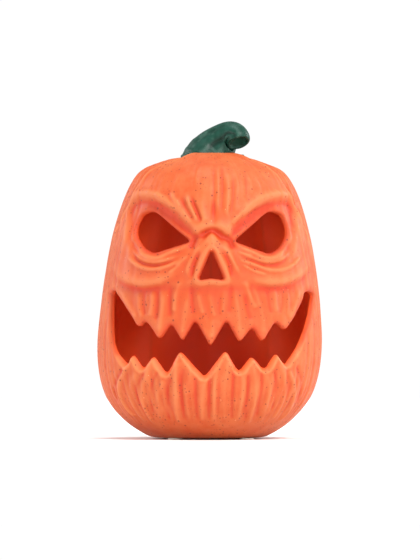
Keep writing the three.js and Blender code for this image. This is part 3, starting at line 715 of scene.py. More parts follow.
def finish_shell(shell):
    """Settles the thinned mesh on the true surface, and gives it true normals and the fields that tint the
    glaze: inside, which takes painted light, proud, the painted shade over the face, the thin glaze and
    painted highlight along the cut edges, and the painted shade along their rolled edges."""
    mesh = shell.data
    points = np.empty(len(mesh.vertices) * 3, np.float32)
    mesh.vertices.foreach_get("co", points)
    points = settle(body_field, points.reshape(-1, 3).astype(float) / MM, 2)
    mesh.vertices.foreach_set("co", (points * MM).astype(np.float32).ravel())
    mesh.update()
    normals = gradient(body_field, points)
    normals /= np.linalg.norm(normals, axis=1)[:, None]
    mesh.polygons.foreach_set("use_smooth", np.ones(len(mesh.polygons), bool))
    mesh.normals_split_custom_set_from_vertices(normals)
    outer, _, opening, proud, rounding = surface_terms(points)
    # Painted light: the inside and the deeper parts of the cut walls take a brighter red than the outer
    # glaze.
    float_attribute(mesh, "inside", smoothstep(0.9, WALL - 0.6, -outer))
    float_attribute(mesh, "proud", proud * smoothstep(3, 1, -outer))
    x, y, z = points.T
    # Painted shade: the glaze is darkened over the front of the face, from the upper lip to the brows,
    # centred a little to the left as seen from the front.
    across = smoothstep(62, 34, np.abs(x + 8)) * smoothstep(0, -20, y)
    float_attribute(mesh, "face_shade", smoothstep(66, 82, z) * smoothstep(152, 132, z) * across)
    # A pale line along the outer edges of the cuts, and a pale slanted cut face under the lower teeth: partly
    # the glaze breaking thin there, partly painted highlight where the edges and the upward-facing cut catch
    # the light.
    slanted = smoothstep(EDGE_ROUNDING - 0.1, EDGE_ROUNDING - 0.4, rounding)
    line = np.exp(-((opening / 0.8) ** 2)) * np.exp(-((outer / 0.8) ** 2))
    face = np.exp(-((opening / 0.7) ** 2)) * smoothstep(3.2, 2.2, -outer) * smoothstep(64, 54, points[:, 2])
    ends = smoothstep(55, 60, np.abs(points[:, 0])) * smoothstep(96, 88, points[:, 2])
    float_attribute(mesh, "thin_glaze_and_highlight", 0.45 * face * slanted + 0.5 * line * np.maximum(slanted, ends))
    # Painted shade: a darker band round the openings where the surface rolls over into the cut, left out on
    # the slanted cut under the lower teeth.
    rolled = np.exp(-((opening / 1.6) ** 2)) * smoothstep(3.8, 2.6, -outer)
    float_attribute(mesh, "rolled_edge_shade", rolled * (1 - slanted * smoothstep(64, 54, points[:, 2])))


# ------------------------------------------------------------------ smaller meshes


def box_mm(node):
    """Low and high corner of a CAD node in millimetres."""
    return tuple(np.array(corner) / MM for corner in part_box(node))


def rows_mesh(name, rows, closed_ends=True):
    """A closed skin through rings of points, in metres. Each end is closed by a fan about its middle."""
    rows = np.asarray(rows, float)
    count, around = rows.shape[:2]
    vertices = rows.reshape(-1, 3)
    here = np.arange(around)
    ahead = (here + 1) % around
    faces = []
    for row in range(count - 1):
        a, b = row * around, (row + 1) * around
        faces.append(np.stack([a + here, a + ahead, b + ahead], axis=1))
        faces.append(np.stack([a + here, b + ahead, b + here], axis=1))
    if closed_ends:
        middles = np.stack([rows[0].mean(0), rows[-1].mean(0)])
        first, last = len(vertices), len(vertices) + 1
        vertices = np.vstack([vertices, middles])
        faces.append(np.stack([ahead, here, np.full(around, first)], axis=1))
        top = (count - 1) * around
        faces.append(np.stack([top + here, top + ahead, np.full(around, last)], axis=1))
    made = mesh_object(name, vertices, np.vstack(faces))
    made.data.polygons.foreach_set("use_smooth", np.ones(len(made.data.polygons), bool))
    return made


def rounded(profile, radius, steps=4):
    """A profile of (r, z) points with its corners off the axis rounded."""
    points = []
    profile = [np.array(p, float) for p in profile]
    for i, corner in enumerate(profile):
        if i in (0, len(profile) - 1) and corner[0] < 1e-6:
            points.append(corner)
            continue
        ends = []
        for other in (profile[i - 1], profile[(i + 1) % len(profile)]):
            side = other - corner
            ends.append(corner + side * min(radius / max(np.linalg.norm(side), 1e-9), 0.45))
        for t in np.linspace(0, 1, steps + 1):
            points.append((1 - t) ** 2 * ends[0] + 2 * t * (1 - t) * corner + t**2 * ends[1])
    return points


def lathe(name, profile, centre=(0, 0), segments=96, wobble=None):
    """A turned piece from (r, z) points in millimetres that go round it anticlockwise. A profile that
    begins on the axis ends there too, and one that begins off it is a ring."""
    on_axis = profile[0][0] < 1e-6
    inner = profile[1:-1] if on_axis else list(profile) + [profile[0]]
    angles = np.linspace(0, 2 * math.pi, segments, endpoint=False)
    rows = []
    for r, z in inner:
        radius = r * np.ones(segments) if wobble is None else r * wobble(angles, z)
        x, y = centre[0] + radius * np.cos(angles), centre[1] + radius * np.sin(angles)
        rows.append(np.stack([x, y, np.full(segments, z)], axis=1) * MM)
    if on_axis:
        return rows_mesh(name, rows)
    made = rows_mesh(name, rows, closed_ends=False)
    weld(made)
    return made


def weld(made):
    """Joins vertices at one place, and turns all faces outwards."""
    mesh = bmesh.new()
    mesh.from_mesh(made.data)
    bmesh.ops.remove_doubles(mesh, verts=mesh.verts, dist=1e-7)
    bmesh.ops.recalc_face_normals(mesh, faces=mesh.faces)
    mesh.to_mesh(made.data)
    mesh.free()


def slab(name, low, high, bevel=0.0):
    """A block between two corners in millimetres, with its edges rounded."""
    mesh = bmesh.new()
    bmesh.ops.create_cube(mesh, size=1)
    low, high = Vector(low) * MM, Vector(high) * MM
    for vertex in mesh.verts:
        vertex.co = Vector(low[n] if vertex.co[n] < 0 else high[n] for n in range(3))
    if bevel:
        bmesh.ops.bevel(mesh, geom=mesh.edges[:], offset=bevel * MM, segments=3, profile=0.5, affect="EDGES")
    data = bpy.data.meshes.new(name)
    mesh.to_mesh(data)
    mesh.free()
    made = bpy.data.objects.new(name, data)
    bpy.context.scene.collection.objects.link(made)
    return made


def combine(made, tools, operation):
    """Joins tools to a piece or cuts it with them, and removes the tools."""
    for tool in tools:
        step = made.modifiers.new("step", "BOOLEAN")
        step.operation, step.object, step.solver = operation, tool, "EXACT"
        apply_modifiers(made)
        data = tool.data
        bpy.data.objects.remove(tool)
        bpy.data.meshes.remove(data)
    return made


def crisp(made, angle=32):
    """Smooth shading, broken at the edges that are sharper than the angle."""
    made.data.polygons.foreach_set("use_smooth", np.ones(len(made.data.polygons), bool))
    made.data.set_sharp_from_angle(angle=math.radians(angle))
    made.modifiers.new("even", "WEIGHTED_NORMAL").keep_sharp = True


def finished(made, body, slot, material, *nodes):
    """Gives a piece its body and its material, and hides the CAD nodes it stands for. The slot, the name of
    its finish, is not used.
    """
    made.data.materials.clear()
    made.data.materials.append(material)
    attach(made, body)
    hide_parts(*nodes)


# ------------------------------------------------------------------ stem

# Centre line and radius, from the crown to the cut end, which droops to the front and the right.
STEM_LINE = [
    (-0.3, 0, 177.3, 18.9), (-0.3, 0, 179.4, 18.7), (-0.2, -0.1, 181.2, 16.3), (0.5, -0.3, 183.2, 13.8),
    (2.6, -0.7, 186.0, 11.8), (6.8, -1.8, 189.2, 10.7), (11.2, -3.6, 191.6, 9.8), (14.3, -5.6, 191.8, 9.0),
    (16.5, -7.6, 190.1, 8.3), (17.2, -8.9, 188.1, 7.7),
]
# Creases between the ribs, in degrees from the front towards the left: their depth as a share of the
# radius, their half width in degrees, and where they are deepest along the stem.
STEM_CREASES = [
    (-150, 0.05, 16, 0.4), (-104, 0.045, 14, 0.5), (-58, 0.03, 18, 0.35), (14, 0.125, 11, 0.62),
    (62, 0.05, 15, 0.5), (108, 0.05, 16, 0.5), (152, 0.05, 15, 0.45),
]
STEM_TWIST = -24         # degrees that the ribs turn from the crown to the cut end
STEM_FLANK = 0.6         # swelling of the lowest rib, as a share of the radius
STEM_DISH = 1.6          # depth of the hollow in the cut end
STEM_LIP = 1.1           # rounding of the edge round it
STEM_CURL = 1.2          # rounding of the foot's edge
STEM_ROWS, STEM_AROUND = 96, 128


def stem_mesh():
    """The stem as one skin: foot, ribbed length, rounded lip and dished end."""
    line = spline(STEM_LINE, 0.1)
    share = np.linspace(0, 1, len(line))
    t = np.linspace(0, 1, STEM_ROWS)
    centre = np.stack([np.interp(t, share, line[:, n]) for n in range(3)], axis=1)
    radius = np.interp(t, share, line[:, 3])
    tangent = np.gradient(centre, axis=0)
    tangent /= np.linalg.norm(tangent, axis=1)[:, None]
    front = np.array([0, -1, 0]) - tangent * (tangent @ np.array([0, -1, 0]))[:, None]
    front /= np.linalg.norm(front, axis=1)[:, None]
    side = np.cross(front, tangent)
    angle = np.linspace(-math.pi, math.pi, STEM_AROUND, endpoint=False)
    rows, proud = [], []

    def ring(i, scale, shift):
        """One ring at a row's place, scaled and shifted along the line, with the ribs' relief."""
        relief = np.zeros(STEM_AROUND)
        for crease, depth, width, middle in STEM_CREASES:
            gap = np.degrees(angle) - crease - STEM_TWIST * t[i]
            gap = np.abs((gap + 180) % 360 - 180)
            here = math.exp(-(((t[i] - middle) / 0.42) ** 2))
            relief -= depth * here * np.exp(-((gap / width) ** 1.4))
        relief += 0.006 * np.sin(5 * angle + 5 * t[i]) + 0.003 * np.sin(9 * angle - 7 * t[i] + 1)
        relief *= smoothstep(-0.05, 0.16, t[i])
        under = np.maximum(0, np.cos(angle + math.radians(85))) ** 2
        flank = STEM_FLANK * math.exp(-(((t[i] - 0.34) / 0.24) ** 2)) * smoothstep(0, 0.12, t[i])
        reach = radius[i] * (1 + relief + flank * under) * scale
        around = np.cos(angle)[:, None] * front[i] + np.sin(angle)[:, None] * side[i]
        proud.append(relief)
        return centre[i] + shift * tangent[i] + reach[:, None] * around

    # the foot curls in under its edge
    for turn in (80, 50, 20):
        curl = math.radians(turn)
        rows.append(ring(0, 1 - STEM_CURL * (1 - math.cos(curl)) / radius[0], -STEM_CURL * math.sin(curl)))
    rows.extend(ring(i, 1, 0) for i in range(STEM_ROWS))
    last = STEM_ROWS - 1
    for turn in range(15, 181, 15):
        curl = math.radians(turn)
        rows.append(ring(last, 1 - STEM_LIP * (1 - math.cos(curl)) / radius[last], STEM_LIP * math.sin(curl)))
    inner = 1 - 2 * STEM_LIP / radius[last]
    for share_in in np.linspace(0.9, 0.06, 12):
        depth = STEM_DISH * (1 - share_in**2)
        rows.append(ring(last, inner * share_in, -depth))
        proud[-1] = np.zeros(STEM_AROUND)
    made = rows_mesh("green_stem", np.array(rows) * MM)
    weld(made)
    values = np.concatenate([np.concatenate(proud), np.zeros(2)])
    if len(values) == len(made.data.vertices):
        float_attribute(made.data, "proud", values)
    made.modifiers.new("smooth", "SUBSURF").render_levels = 1
    made.modifiers["smooth"].levels = 1
    return made


# ------------------------------------------------------------------ materials


class Look:
    """A node material: its shader's own sockets hold what is the same all over the surface."""

    def __init__(self, name, roughness=0.5, metallic=0.0, **constants):
        self.material = bpy.data.materials.new(name)
        self.material.use_nodes = True
        self.tree = self.material.node_tree
        self.shader = self.tree.nodes["Principled BSDF"]
        self.shader.inputs["Roughness"].default_value = roughness
        self.shader.inputs["Metallic"].default_value = metallic
        for socket, value in constants.items():
            self.shader.inputs[socket.replace("_", " ")].default_value = value
        self.place = self.node("ShaderNodeTexCoord").outputs["Object"]

    def node(self, kind, inputs=None, **settings):
        made = self.tree.nodes.new(kind)
        for name, value in settings.items():
            setattr(made, name, value)
        for socket, value in (inputs or {}).items():
            if isinstance(value, bpy.types.NodeSocket):
                self.tree.links.new(value, made.inputs[socket])
            else:
                made.inputs[socket].default_value = value
        return made

    def stretched(self, x, y, z):
        return self.node("ShaderNodeMapping", {"Vector": self.place, "Scale": (x, y, z)}).outputs[0]

    def noise(self, size, detail=3.0, roughness=0.5, vector=None):
        """Soft noise from 0 to 1 with features of about the given size in millimetres."""
        inputs = {"Vector": vector or self.place, "Scale": 1 / (size * MM), "Detail": detail,
                  "Roughness": roughness}
        return self.node("ShaderNodeTexNoise", inputs).outputs["Fac"]

    def math(self, operation, *values):
        node = self.node("ShaderNodeMath", dict(enumerate(values)), operation=operation)
        return node.outputs[0]

    def span(self, value, low, high, to_low=0.0, to_high=1.0):
        """A value's share of the way from low to high, clamped and scaled."""
        inputs = {"Value": value, "From Min": low, "From Max": high, "To Min": to_low, "To Max": to_high}
        return self.node("ShaderNodeMapRange", inputs).outputs[0]

    def attribute(self, name):
        return self.node("ShaderNodeAttribute", attribute_name=name).outputs["Fac"]

    def mix(self, share, first, second):
        node = self.node("ShaderNodeMix", data_type="RGBA")
        for socket, value in zip((node.inputs[0], node.inputs[6], node.inputs[7]), (share, first, second)):
            if isinstance(value, bpy.types.NodeSocket):
                self.tree.links.new(value, socket)
            else:
                socket.default_value = (*value, 1) if isinstance(value, tuple) else value
        return node.outputs[2]

    def specks(self, spacing, size, share, vector=None):
        """1 in round specks of about a size in millimetres, in a share of the cells of a spacing."""
        inputs = {"Vector": vector or self.place, "Scale": 1 / (spacing * MM)}
        cells = self.node("ShaderNodeTexVoronoi", inputs)
        parts = self.node("ShaderNodeSeparateColor", {"Color": cells.outputs["Color"]})
        chosen = self.math("LESS_THAN", parts.outputs[0], share)
        reach = self.span(parts.outputs[1], 0, 1, 0.25 * size / spacing, 0.6 * size / spacing)
        near = self.math("SUBTRACT", reach, cells.outputs["Distance"])
        spot = self.span(near, 0, 0.12 * size / spacing)
        return self.math("MULTIPLY", spot, chosen)

    def link(self, socket, value):
        self.tree.links.new(value, self.shader.inputs[socket])

    def bump(self, *layers):
        """Bump from (height field, depth in millimetres) layers."""
        normal = None
        for height, depth in layers:
            inputs = {"Height": height, "Distance": depth * MM, "Strength": 1.0}
            if normal is not None:
                inputs["Normal"] = normal
            normal = self.node("ShaderNodeBump", inputs).outputs[0]
        self.link("Normal", normal)


def orange_glaze():
    look = Look("orange_glaze", Specular_IOR_Level=0.28)
    drift = look.noise(34, 2)
    cloud = look.noise(9, 4, 0.6)
    body = look.mix(look.span(drift, 0.3, 0.7), ORANGE_DEEP, ORANGE)
    body = look.mix(look.span(cloud, 0.35, 0.7, 0, 0.35), body, ORANGE_PALE)
    proud = look.attribute("proud")
    # painted shade over the middle of the face
    body = look.mix(look.math("MULTIPLY", look.attribute("face_shade"), 0.65), body, ORANGE_DEEP)
    # Paler where the surface stands proud and darker in the hollows: partly the glaze breaking and pooling,
    # partly painted highlight on the ridges and painted shade in the hollows.
    body = look.mix(look.span(proud, 0.08, 0.9, 0, 0.6), body, ORANGE_PALE)
    body = look.mix(look.span(proud, -0.05, -0.9, 0, 0.9), body, ORANGE_SHADE)
    # painted shade along the rolled edges of the openings
    body = look.mix(look.math("MULTIPLY", look.attribute("rolled_edge_shade"), 0.55), body, ORANGE_SHADE)
    # pale cut edges: thin glaze and painted highlight
    body = look.mix(look.attribute("thin_glaze_and_highlight"), body, ORANGE_PALE)
    clusters = look.span(look.noise(14, 2), 0.47, 0.58)
    dark = look.math("MULTIPLY", look.specks(1.8, 1.15, 0.42), clusters)
    fine = look.math("MULTIPLY", look.specks(1.2, 0.6, 0.4), look.span(look.noise(22, 2), 0.48, 0.58))
    lone = look.specks(3.4, 1.3, 0.3)
    body = look.mix(look.math("MULTIPLY", fine, 0.55), body, SPECK_BROWN)
    body = look.mix(look.math("MULTIPLY", look.math("MAXIMUM", dark, lone), 0.85), body, SPECK_DARK)
    body = look.mix(look.math("MULTIPLY", look.specks(3.0, 0.55, 0.12), 0.6), body, SPECK_LIGHT)
    # painted light: the inside takes a brighter red
    look.link("Base Color", look.mix(look.attribute("inside"), body, INSIDE_LIT_RED))
    rough = look.span(look.noise(5, 3), 0.3, 0.7, 0.5, 0.62)
    look.link("Roughness", rough)
    look.bump((look.noise(0.9, 2), 0.012), (look.noise(4.5, 3), 0.05), (dark, -0.03))
    return look.material


def green_glaze():
    look = Look("green_glaze", Specular_IOR_Level=0.2)
    streaks = look.noise(6, 4, 0.6, look.stretched(1.6, 1.6, 0.5))
    body = look.mix(look.span(streaks, 0.3, 0.7), GREEN_DEEP, GREEN)
    proud = look.attribute("proud")
    # Pale grey-green patches: partly streaks in the glaze, partly painted reflection.
    body = look.mix(look.span(look.noise(5, 3), 0.52, 0.7, 0, 0.6), body, GREEN_PALE)
    # Paler on the ribs and darker in the creases: partly the glaze breaking and pooling, partly painted
    # highlight and painted shade.
    body = look.mix(look.span(proud, 0.004, 0.014, 0, 0.35), body, GREEN_PALE)
    body = look.mix(look.span(proud, -0.02, -0.07, 0, 0.8), body, GREEN_CREASE)
    body = look.mix(look.specks(3.2, 0.6, 0.25), body, GREEN_CREASE)
    look.link("Base Color", body)
    look.link("Roughness", look.span(look.noise(2.5, 3), 0.3, 0.7, 0.36, 0.5))
    look.bump((look.noise(5, 2), 0.1), (look.noise(0.8, 2), 0.006))
    return look.material


def felt():
    look = Look("pad_felt", roughness=0.95, Sheen_Weight=0.4, Sheen_Roughness=0.5)
    fibres = look.noise(0.35, 5, 0.7, look.stretched(1, 1, 0.6))
    look.link("Base Color", look.mix(fibres, (0.5, 0.46, 0.38), (0.78, 0.75, 0.68)))
    look.bump((fibres, 0.12), (look.noise(1.4, 3), 0.1))
    return look.material


def moulded(name, dark, light, grain=0.5, depth=0.015, rough=(0.45, 0.6), **constants):
    """Moulded plastic or rubber: a fine grain, slight colour drift and rubbed patches."""
    look = Look(name, **constants)
    look.link("Base Color", look.mix(look.noise(11, 3), dark, light))
    look.link("Roughness", look.span(look.noise(3, 4), 0.3, 0.7, *rough))
    look.bump((look.noise(grain, 3, 0.6), depth))
    return look.material


def metal(name, dark, light, stretch, rough=(0.25, 0.42)):
    """Drawn, spun or pressed metal: fine scratches along one direction, and dull patches."""
    look = Look(name, metallic=1.0)
    scratches = look.noise(0.8, 4, 0.7, look.stretched(*stretch))
    look.link("Base Color", look.mix(look.noise(2.4, 3), dark, light))
    look.link("Roughness", look.span(scratches, 0.3, 0.7, *rough))
    look.bump((scratches, 0.01))
    return look.material


def laminate():
    look = Look("board_laminate", Coat_Weight=0.5, Coat_Roughness=0.2)
    tracks = look.node("ShaderNodeTexVoronoi", {"Vector": look.stretched(1, 1, 0.01), "Scale": 420},
                       distance="MANHATTAN", feature="F1").outputs["Distance"]
    weave = look.noise(0.5, 2, 0.5, look.stretched(2.5, 0.6, 1))
    body = look.mix(look.span(tracks, 0.42, 0.5), (0.012, 0.13, 0.045), (0.03, 0.22, 0.09))
    look.link("Base Color", look.mix(look.span(weave, 0.4, 0.7, 0, 0.25), body, (0.05, 0.26, 0.11)))
    look.link("Roughness", look.span(look.noise(3, 3), 0.3, 0.7, 0.3, 0.45))
    look.bump((tracks, 0.03), (weave, 0.01))
    return look.material


def banded_enamel():
    look = Look("resistor_enamel", Coat_Weight=0.4)
    x = look.node("ShaderNodeSeparateXYZ", {"Vector": look.place}).outputs[0]
    body = look.mix(look.noise(1.5, 3), (0.5, 0.34, 0.18), (0.64, 0.48, 0.28))
    bands = [(0.0062, (0.25, 0.08, 0.02)), (0.0074, (0.02, 0.02, 0.02)), (0.0086, (0.5, 0.12, 0.01))]
    for middle, colour in bands:
        off = look.math("ABSOLUTE", look.math("SUBTRACT", x, middle))
        body = look.mix(look.span(off, 0.0004, 0.0003), body, colour)
    look.link("Base Color", body)
    look.bump((look.noise(0.6, 2), 0.01))
    return look.material


def milky():
    look = Look("milky_plastic", Transmission_Weight=0.35, Subsurface_Weight=0.3, Subsurface_Scale=0.004,
                IOR=1.46)
    look.link("Base Color", look.mix(look.noise(5, 3), (0.86, 0.8, 0.66), (0.93, 0.9, 0.8)))
    look.link("Roughness", look.span(look.noise(1.6, 3), 0.3, 0.7, 0.28, 0.42))
    look.bump((look.noise(0.7, 2), 0.01))
    return look.material


def led_resin():
    look = Look("led_resin", Transmission_Weight=0.8, IOR=1.52)
    look.link("Base Color", look.mix(look.noise(2, 2), (0.86, 0.66, 0.36), (0.95, 0.82, 0.56)))
    look.link("Roughness", look.span(look.noise(1, 2), 0.3, 0.7, 0.06, 0.16))
    look.bump((look.noise(0.9, 2), 0.006))
    return look.material


def pale_paper():
    look = Look("studio_paper", roughness=0.95, Specular_IOR_Level=0.1)
    look.link("Base Color", look.mix(look.noise(60, 3), (0.93, 0.93, 0.93), (0.95, 0.95, 0.95)))
    look.bump((look.noise(1.2, 4), 0.01))
    return look.material


ORANGE = (0.46, 0.082, 0.017)
# The next colour is the glaze's deeper tone in random drifts, and also the painted shade over the middle of
# the face.
ORANGE_DEEP = (0.445, 0.059, 0.010)
# The next colour is the glaze's paler tone in random clouds, and also painted highlight on the ridges and
# along the cut edges.
ORANGE_PALE = (0.555, 0.164, 0.054)
# The next colour is painted shade, taken by the hollows, where the glaze also pools, and by the rolled cut
# edges.
ORANGE_SHADE = (0.44, 0.029, 0.005)
# The next colour is the outer glaze made brighter and redder: painted light inside the cavity.
INSIDE_LIT_RED = (0.83, 0.086, 0.016)
SPECK_DARK = (0.17, 0.022, 0.007)
SPECK_BROWN = (0.26, 0.04, 0.012)
SPECK_LIGHT = (0.92, 0.5, 0.25)
GREEN = (0.008, 0.052, 0.036)
GREEN_DEEP = (0.003, 0.030, 0.018)
# The next colour is partly pale streaks in the glaze, partly painted reflection and painted highlight on the
# stem.
GREEN_PALE = (0.050, 0.115, 0.088)
# The next colour is the dark of the green glaze's specks, and painted shade in the stem's creases.
GREEN_CREASE = (0.001, 0.013, 0.008)

# ------------------------------------------------------------------ pieces


WELL = (-5.5, 0)         # axis of the battery well and its door
BOSS_PLACES = ((0, 14.6), (0, -14.6))


def foot_pads(material):
    for number in range(1, 5):
        low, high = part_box(f"foot_pad_{number}")
        centre = ((low.x + high.x) / 2 / MM, (low.y + high.y) / 2 / MM)
        radius, height = (high.x - low.x) / 2 / MM, high.z / MM

        def fuzz(angles, z):
            return 1 + 0.006 * np.sin(23 * angles + number + 3 * z) + 0.004 * np.sin(41 * angles - 5 * z)

        profile = rounded([(0, 0), (radius, 0), (radius, height), (0, height)], 0.28)
        pad = lathe(f"felt_pad_{number}", profile, centre, 80, fuzz)
        crisp(pad, 60)
        finished(pad, "figure", "pad_felt", material, f"foot_pad_{number}")


def light_unit(plastic, rubber, milk, resin, cell_steel):
    """The housing cup with its flange, battery well and switch slot, and the pieces round it."""
    (_, _, bottom), (flange, _, top) = box_mm("light_housing")
    plate, cup, inner = bottom + 1.6, 21.0, 19.5
    housing = lathe("cup_housing", rounded([
        (0, bottom), (flange - 2.2, bottom), (flange, bottom + 0.5), (flange, plate), (cup, plate),
        (cup, top), (inner, top), (inner, plate), (0, plate)], 0.3), segments=144)
    boss = [(0, plate - 1), (2.8, plate - 1), (2.8, 9.7), (0, 9.7)]
    combine(housing, [
        lathe("collar", [(0, plate - 1), (14.2, plate - 1), (14.2, 7), (0, 7)], WELL),
        *[lathe("boss", boss, place, 40) for place in BOSS_PLACES],
    ], "UNION")
    slots = []
    for turn in (60, 240):
        slot = slab("entry", (10.5, -3.2, bottom - 1), (13.4, 3.2, 5.9))
        slot.data.transform(turned_about(WELL, turn))
        slots.append(slot)
    combine(housing, [
        lathe("well", [(0, bottom - 1), (12.3, bottom - 1), (12.3, 8), (0, 8)], WELL, 128),
        lathe("undercut", [(0, 4.3), (13.4, 4.3), (13.4, 5.9), (0, 5.9)], WELL),
        *slots,
        *[lathe("bore", [(0, 5.2), (1.4, 5.2), (1.4, 11), (0, 11)], place, 32) for place in BOSS_PLACES],
        slab("switch_slot", (11.75, -4, bottom - 1), (15.25, 4, plate + 1)),
    ], "DIFFERENCE")
    crisp(housing)
    finished(housing, "light_unit", "housing_plastic", plastic, "light_housing")

    (_, _, foot), (outer, _, head) = box_mm("grip_ring")
    ring = lathe("rubber_grip", rounded([
        (outer - 1.4, foot), (outer - 0.6, foot), (outer, foot + 0.9), (outer - 0.55, foot + 1.8),
        (outer, foot + 2.7), (outer - 0.6, head), (outer - 1.4, head)], 0.35), segments=144,
        wobble=lambda angles, z: 1 + 0.0025 * np.cos(48 * angles))
    crisp(ring, 50)
    finished(ring, "light_unit", "black_rubber", rubber, "grip_ring")

    (_, _, under), (radius, _, over) = box_mm("top_cap")
    cap = lathe("cup_cap", rounded([
        (3.4, under), (radius, under), (radius, over - 0.8), (radius - 0.8, over), (radius - 3, over),
        (radius - 3.4, over - 0.3), (radius - 4.4, over - 0.3), (radius - 4.8, over), (3.4, over)], 0.18),
        segments=144)
    crisp(cap, 40)
    finished(cap, "light_unit", "housing_plastic", plastic, "top_cap")

    (_, _, base), (radius, _, tip) = box_mm("diffuser_dome")
    outside = spline([(radius - 0.2, base), (radius, base + 2.4), (radius - 0.9, base + 5.3),
                      (radius - 3.0, base + 7.6), (0, tip)], 0.25)
    inside = spline([(0, tip - 1.1), (radius - 3.8, base + 6.6), (radius - 2.0, base + 4.6),
                     (radius - 1.3, base + 2.4), (radius - 1.4, base)], 0.25)
    dome = lathe("flame_dome", [tuple(p) for p in np.vstack([inside, outside])])
    crisp(dome, 50)
    finished(dome, "light_unit", "milky_plastic", milk, "diffuser_dome")

    (_, _, base), (rim_radius, _, tip) = box_mm("led")
    radius = rim_radius - 0.4
    rim = [(0, base), (rim_radius, base), (rim_radius, base + 1), (radius, base + 1)]
    turns = np.linspace(0, 1.5, 12)
    head = [(radius * math.cos(a), tip - radius + radius * math.sin(a)) for a in turns]
    profile = rounded(rim, 0.15)[:-5] + [(radius, base + 1.02)] + head + [(0, tip)]
    bulb = lathe("led_bulb", profile, segments=64)
    crisp(bulb, 40)
    finished(bulb, "light_unit", "led_resin", resin, "led")

    (west, _, base), (east, _, over) = box_mm("coin_cell")
    radius, middle = (east - west) / 2, (west + east) / 2
    cell = lathe("button_cell", rounded([
        (0, base), (radius - 0.4, base), (radius, base + 0.4), (radius, over - 0.5),
        (radius - 0.5, over - 0.3), (radius - 1.3, over - 0.3), (radius - 1.5, over - 0.45),
        (radius - 1.7, over), (0, over)], 0.12), (middle, 0), 128)
    crisp(cell, 40)
    finished(cell, "light_unit", "cell_steel", cell_steel, "coin_cell")


def turned_about(centre, degrees):
    """Matrix that puts a piece made about the Z axis round another upright axis."""
    turn = Matrix.Rotation(math.radians(degrees), 4, "Z")
    return Matrix.Translation(Vector((centre[0], centre[1], 0)) * MM) @ turn


def battery_door(plastic):
    (_, _, bottom), (_, _, rim_top) = box_mm("battery_door")
    door = lathe("coin_door", rounded([
        (0, bottom), (11.4, bottom), (12, bottom + 0.5), (12, rim_top), (10.6, rim_top),
        (10.6, bottom + 1.5), (0, bottom + 1.5)], 0.2), WELL, 128)
    lugs = []
    for turn in (0, 180):
        lug = slab("lug", (11, -2.6, bottom + 2.2), (13.1, 2.6, rim_top), 0.2)
        lug.data.transform(turned_about(WELL, turn))
        lugs.append(lug)
    combine(door, lugs, "UNION")
    groove = [(9.2, bottom - 1), (9.8, bottom - 1), (9.8, bottom + 0.3), (9.2, bottom + 0.3)]
    ring = lathe("ring_groove", groove, WELL)
    slot = slab("coin_slot", (WELL[0] - 7.5, -1, bottom - 1), (WELL[0] + 7.5, 1, bottom + 0.9), 0.15)
    combine(door, [ring, slot], "DIFFERENCE")
    crisp(door)
    finished(door, "battery_door", "housing_plastic", plastic, "battery_door")


def switch_slider(plastic):
    (x0, y0, bottom), (x1, y1, top) = box_mm("switch_slider")
    middle = (x0 + x1) / 2
    knob = slab("slide_knob", (x0, y0, bottom), (x1, y1, bottom + 2.6), 0.25)
    neck = slab("neck", (middle - 0.6, y0 + 1, bottom + 2), (middle + 0.6, y1 - 1, top), 0.1)
    combine(knob, [neck], "UNION")
    grips = [
        slab("grip", (x0 - 1, y0 + i - 0.22, bottom - 1), (x1 + 1, y0 + i + 0.22, bottom + 0.4))
        for i in (1, 2, 3)
    ]
    combine(knob, grips, "DIFFERENCE")
    crisp(knob)
    finished(knob, "switch_slider", "switch_plastic", plastic, "switch_slider")


def dress(node, material):
    """Gives a CAD node that stays its material."""
    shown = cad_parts[node]
    for held in shown.material_slots:
        held.material = material
    if not shown.material_slots:
        shown.data.materials.append(material)


# ------------------------------------------------------------------ studio


def studio():
    """White surroundings, soft lamps, a pale floor and the camera."""
    scene = bpy.context.scene
    scene.view_settings.view_transform = "Standard"
    scene.view_settings.look = "None"
    world = bpy.data.worlds.new("studio")
    scene.world = world
    world.use_nodes = True
    # the backdrop is lit to white, and the room that lights the object is dimmer
    tree = world.node_tree
    sky = tree.nodes["Background"]
    seen = tree.nodes.new("ShaderNodeLightPath").outputs["Is Camera Ray"]
    level = tree.nodes.new("ShaderNodeMapRange")
    level.inputs["To Min"].default_value = ROOM_LIGHT
    level.inputs["To Max"].default_value = BACKDROP_LIGHT
    tree.links.new(seen, level.inputs["Value"])
    tree.links.new(level.outputs[0], sky.inputs["Strength"])
    sky.inputs["Color"].default_value = (1, 1, 1, 1)
    aim = Vector(CAMERA_AIM)
    for name, at, size, watts, colour in LIGHTS:
        lamp = bpy.data.lights.new(name, "AREA")
        lamp.shape, lamp.size, lamp.energy, lamp.color = "DISK", size, watts, colour
        holder = bpy.data.objects.new(name, lamp)
        holder.location = at
        holder.rotation_euler = (aim - holder.location).to_track_quat("-Z", "Y").to_euler()
        scene.collection.objects.link(holder)
    floor = bmesh.new()
    bmesh.ops.create_circle(floor, cap_ends=True, segments=96, radius=1.5)
    data = bpy.data.meshes.new("studio_floor")
    floor.to_mesh(data)
    floor.free()
    ground = bpy.data.objects.new("studio_floor", data)
    scene.collection.objects.link(ground)
    ground.data.materials.append(pale_paper())
    camera = bpy.data.cameras.new("camera")
    camera.sensor_fit = "AUTO"
    camera.sensor_width = 36
    camera.lens = 36 * CAMERA_DISTANCE / VIEW_HEIGHT
    eye = bpy.data.objects.new("camera", camera)
    eye.location = (aim.x, -CAMERA_DISTANCE, CAMERA_HEIGHT)
    eye.rotation_euler = (aim - eye.location).to_track_quat("-Z", "Y").to_euler()
    scene.collection.objects.link(eye)
    scene.camera = eye


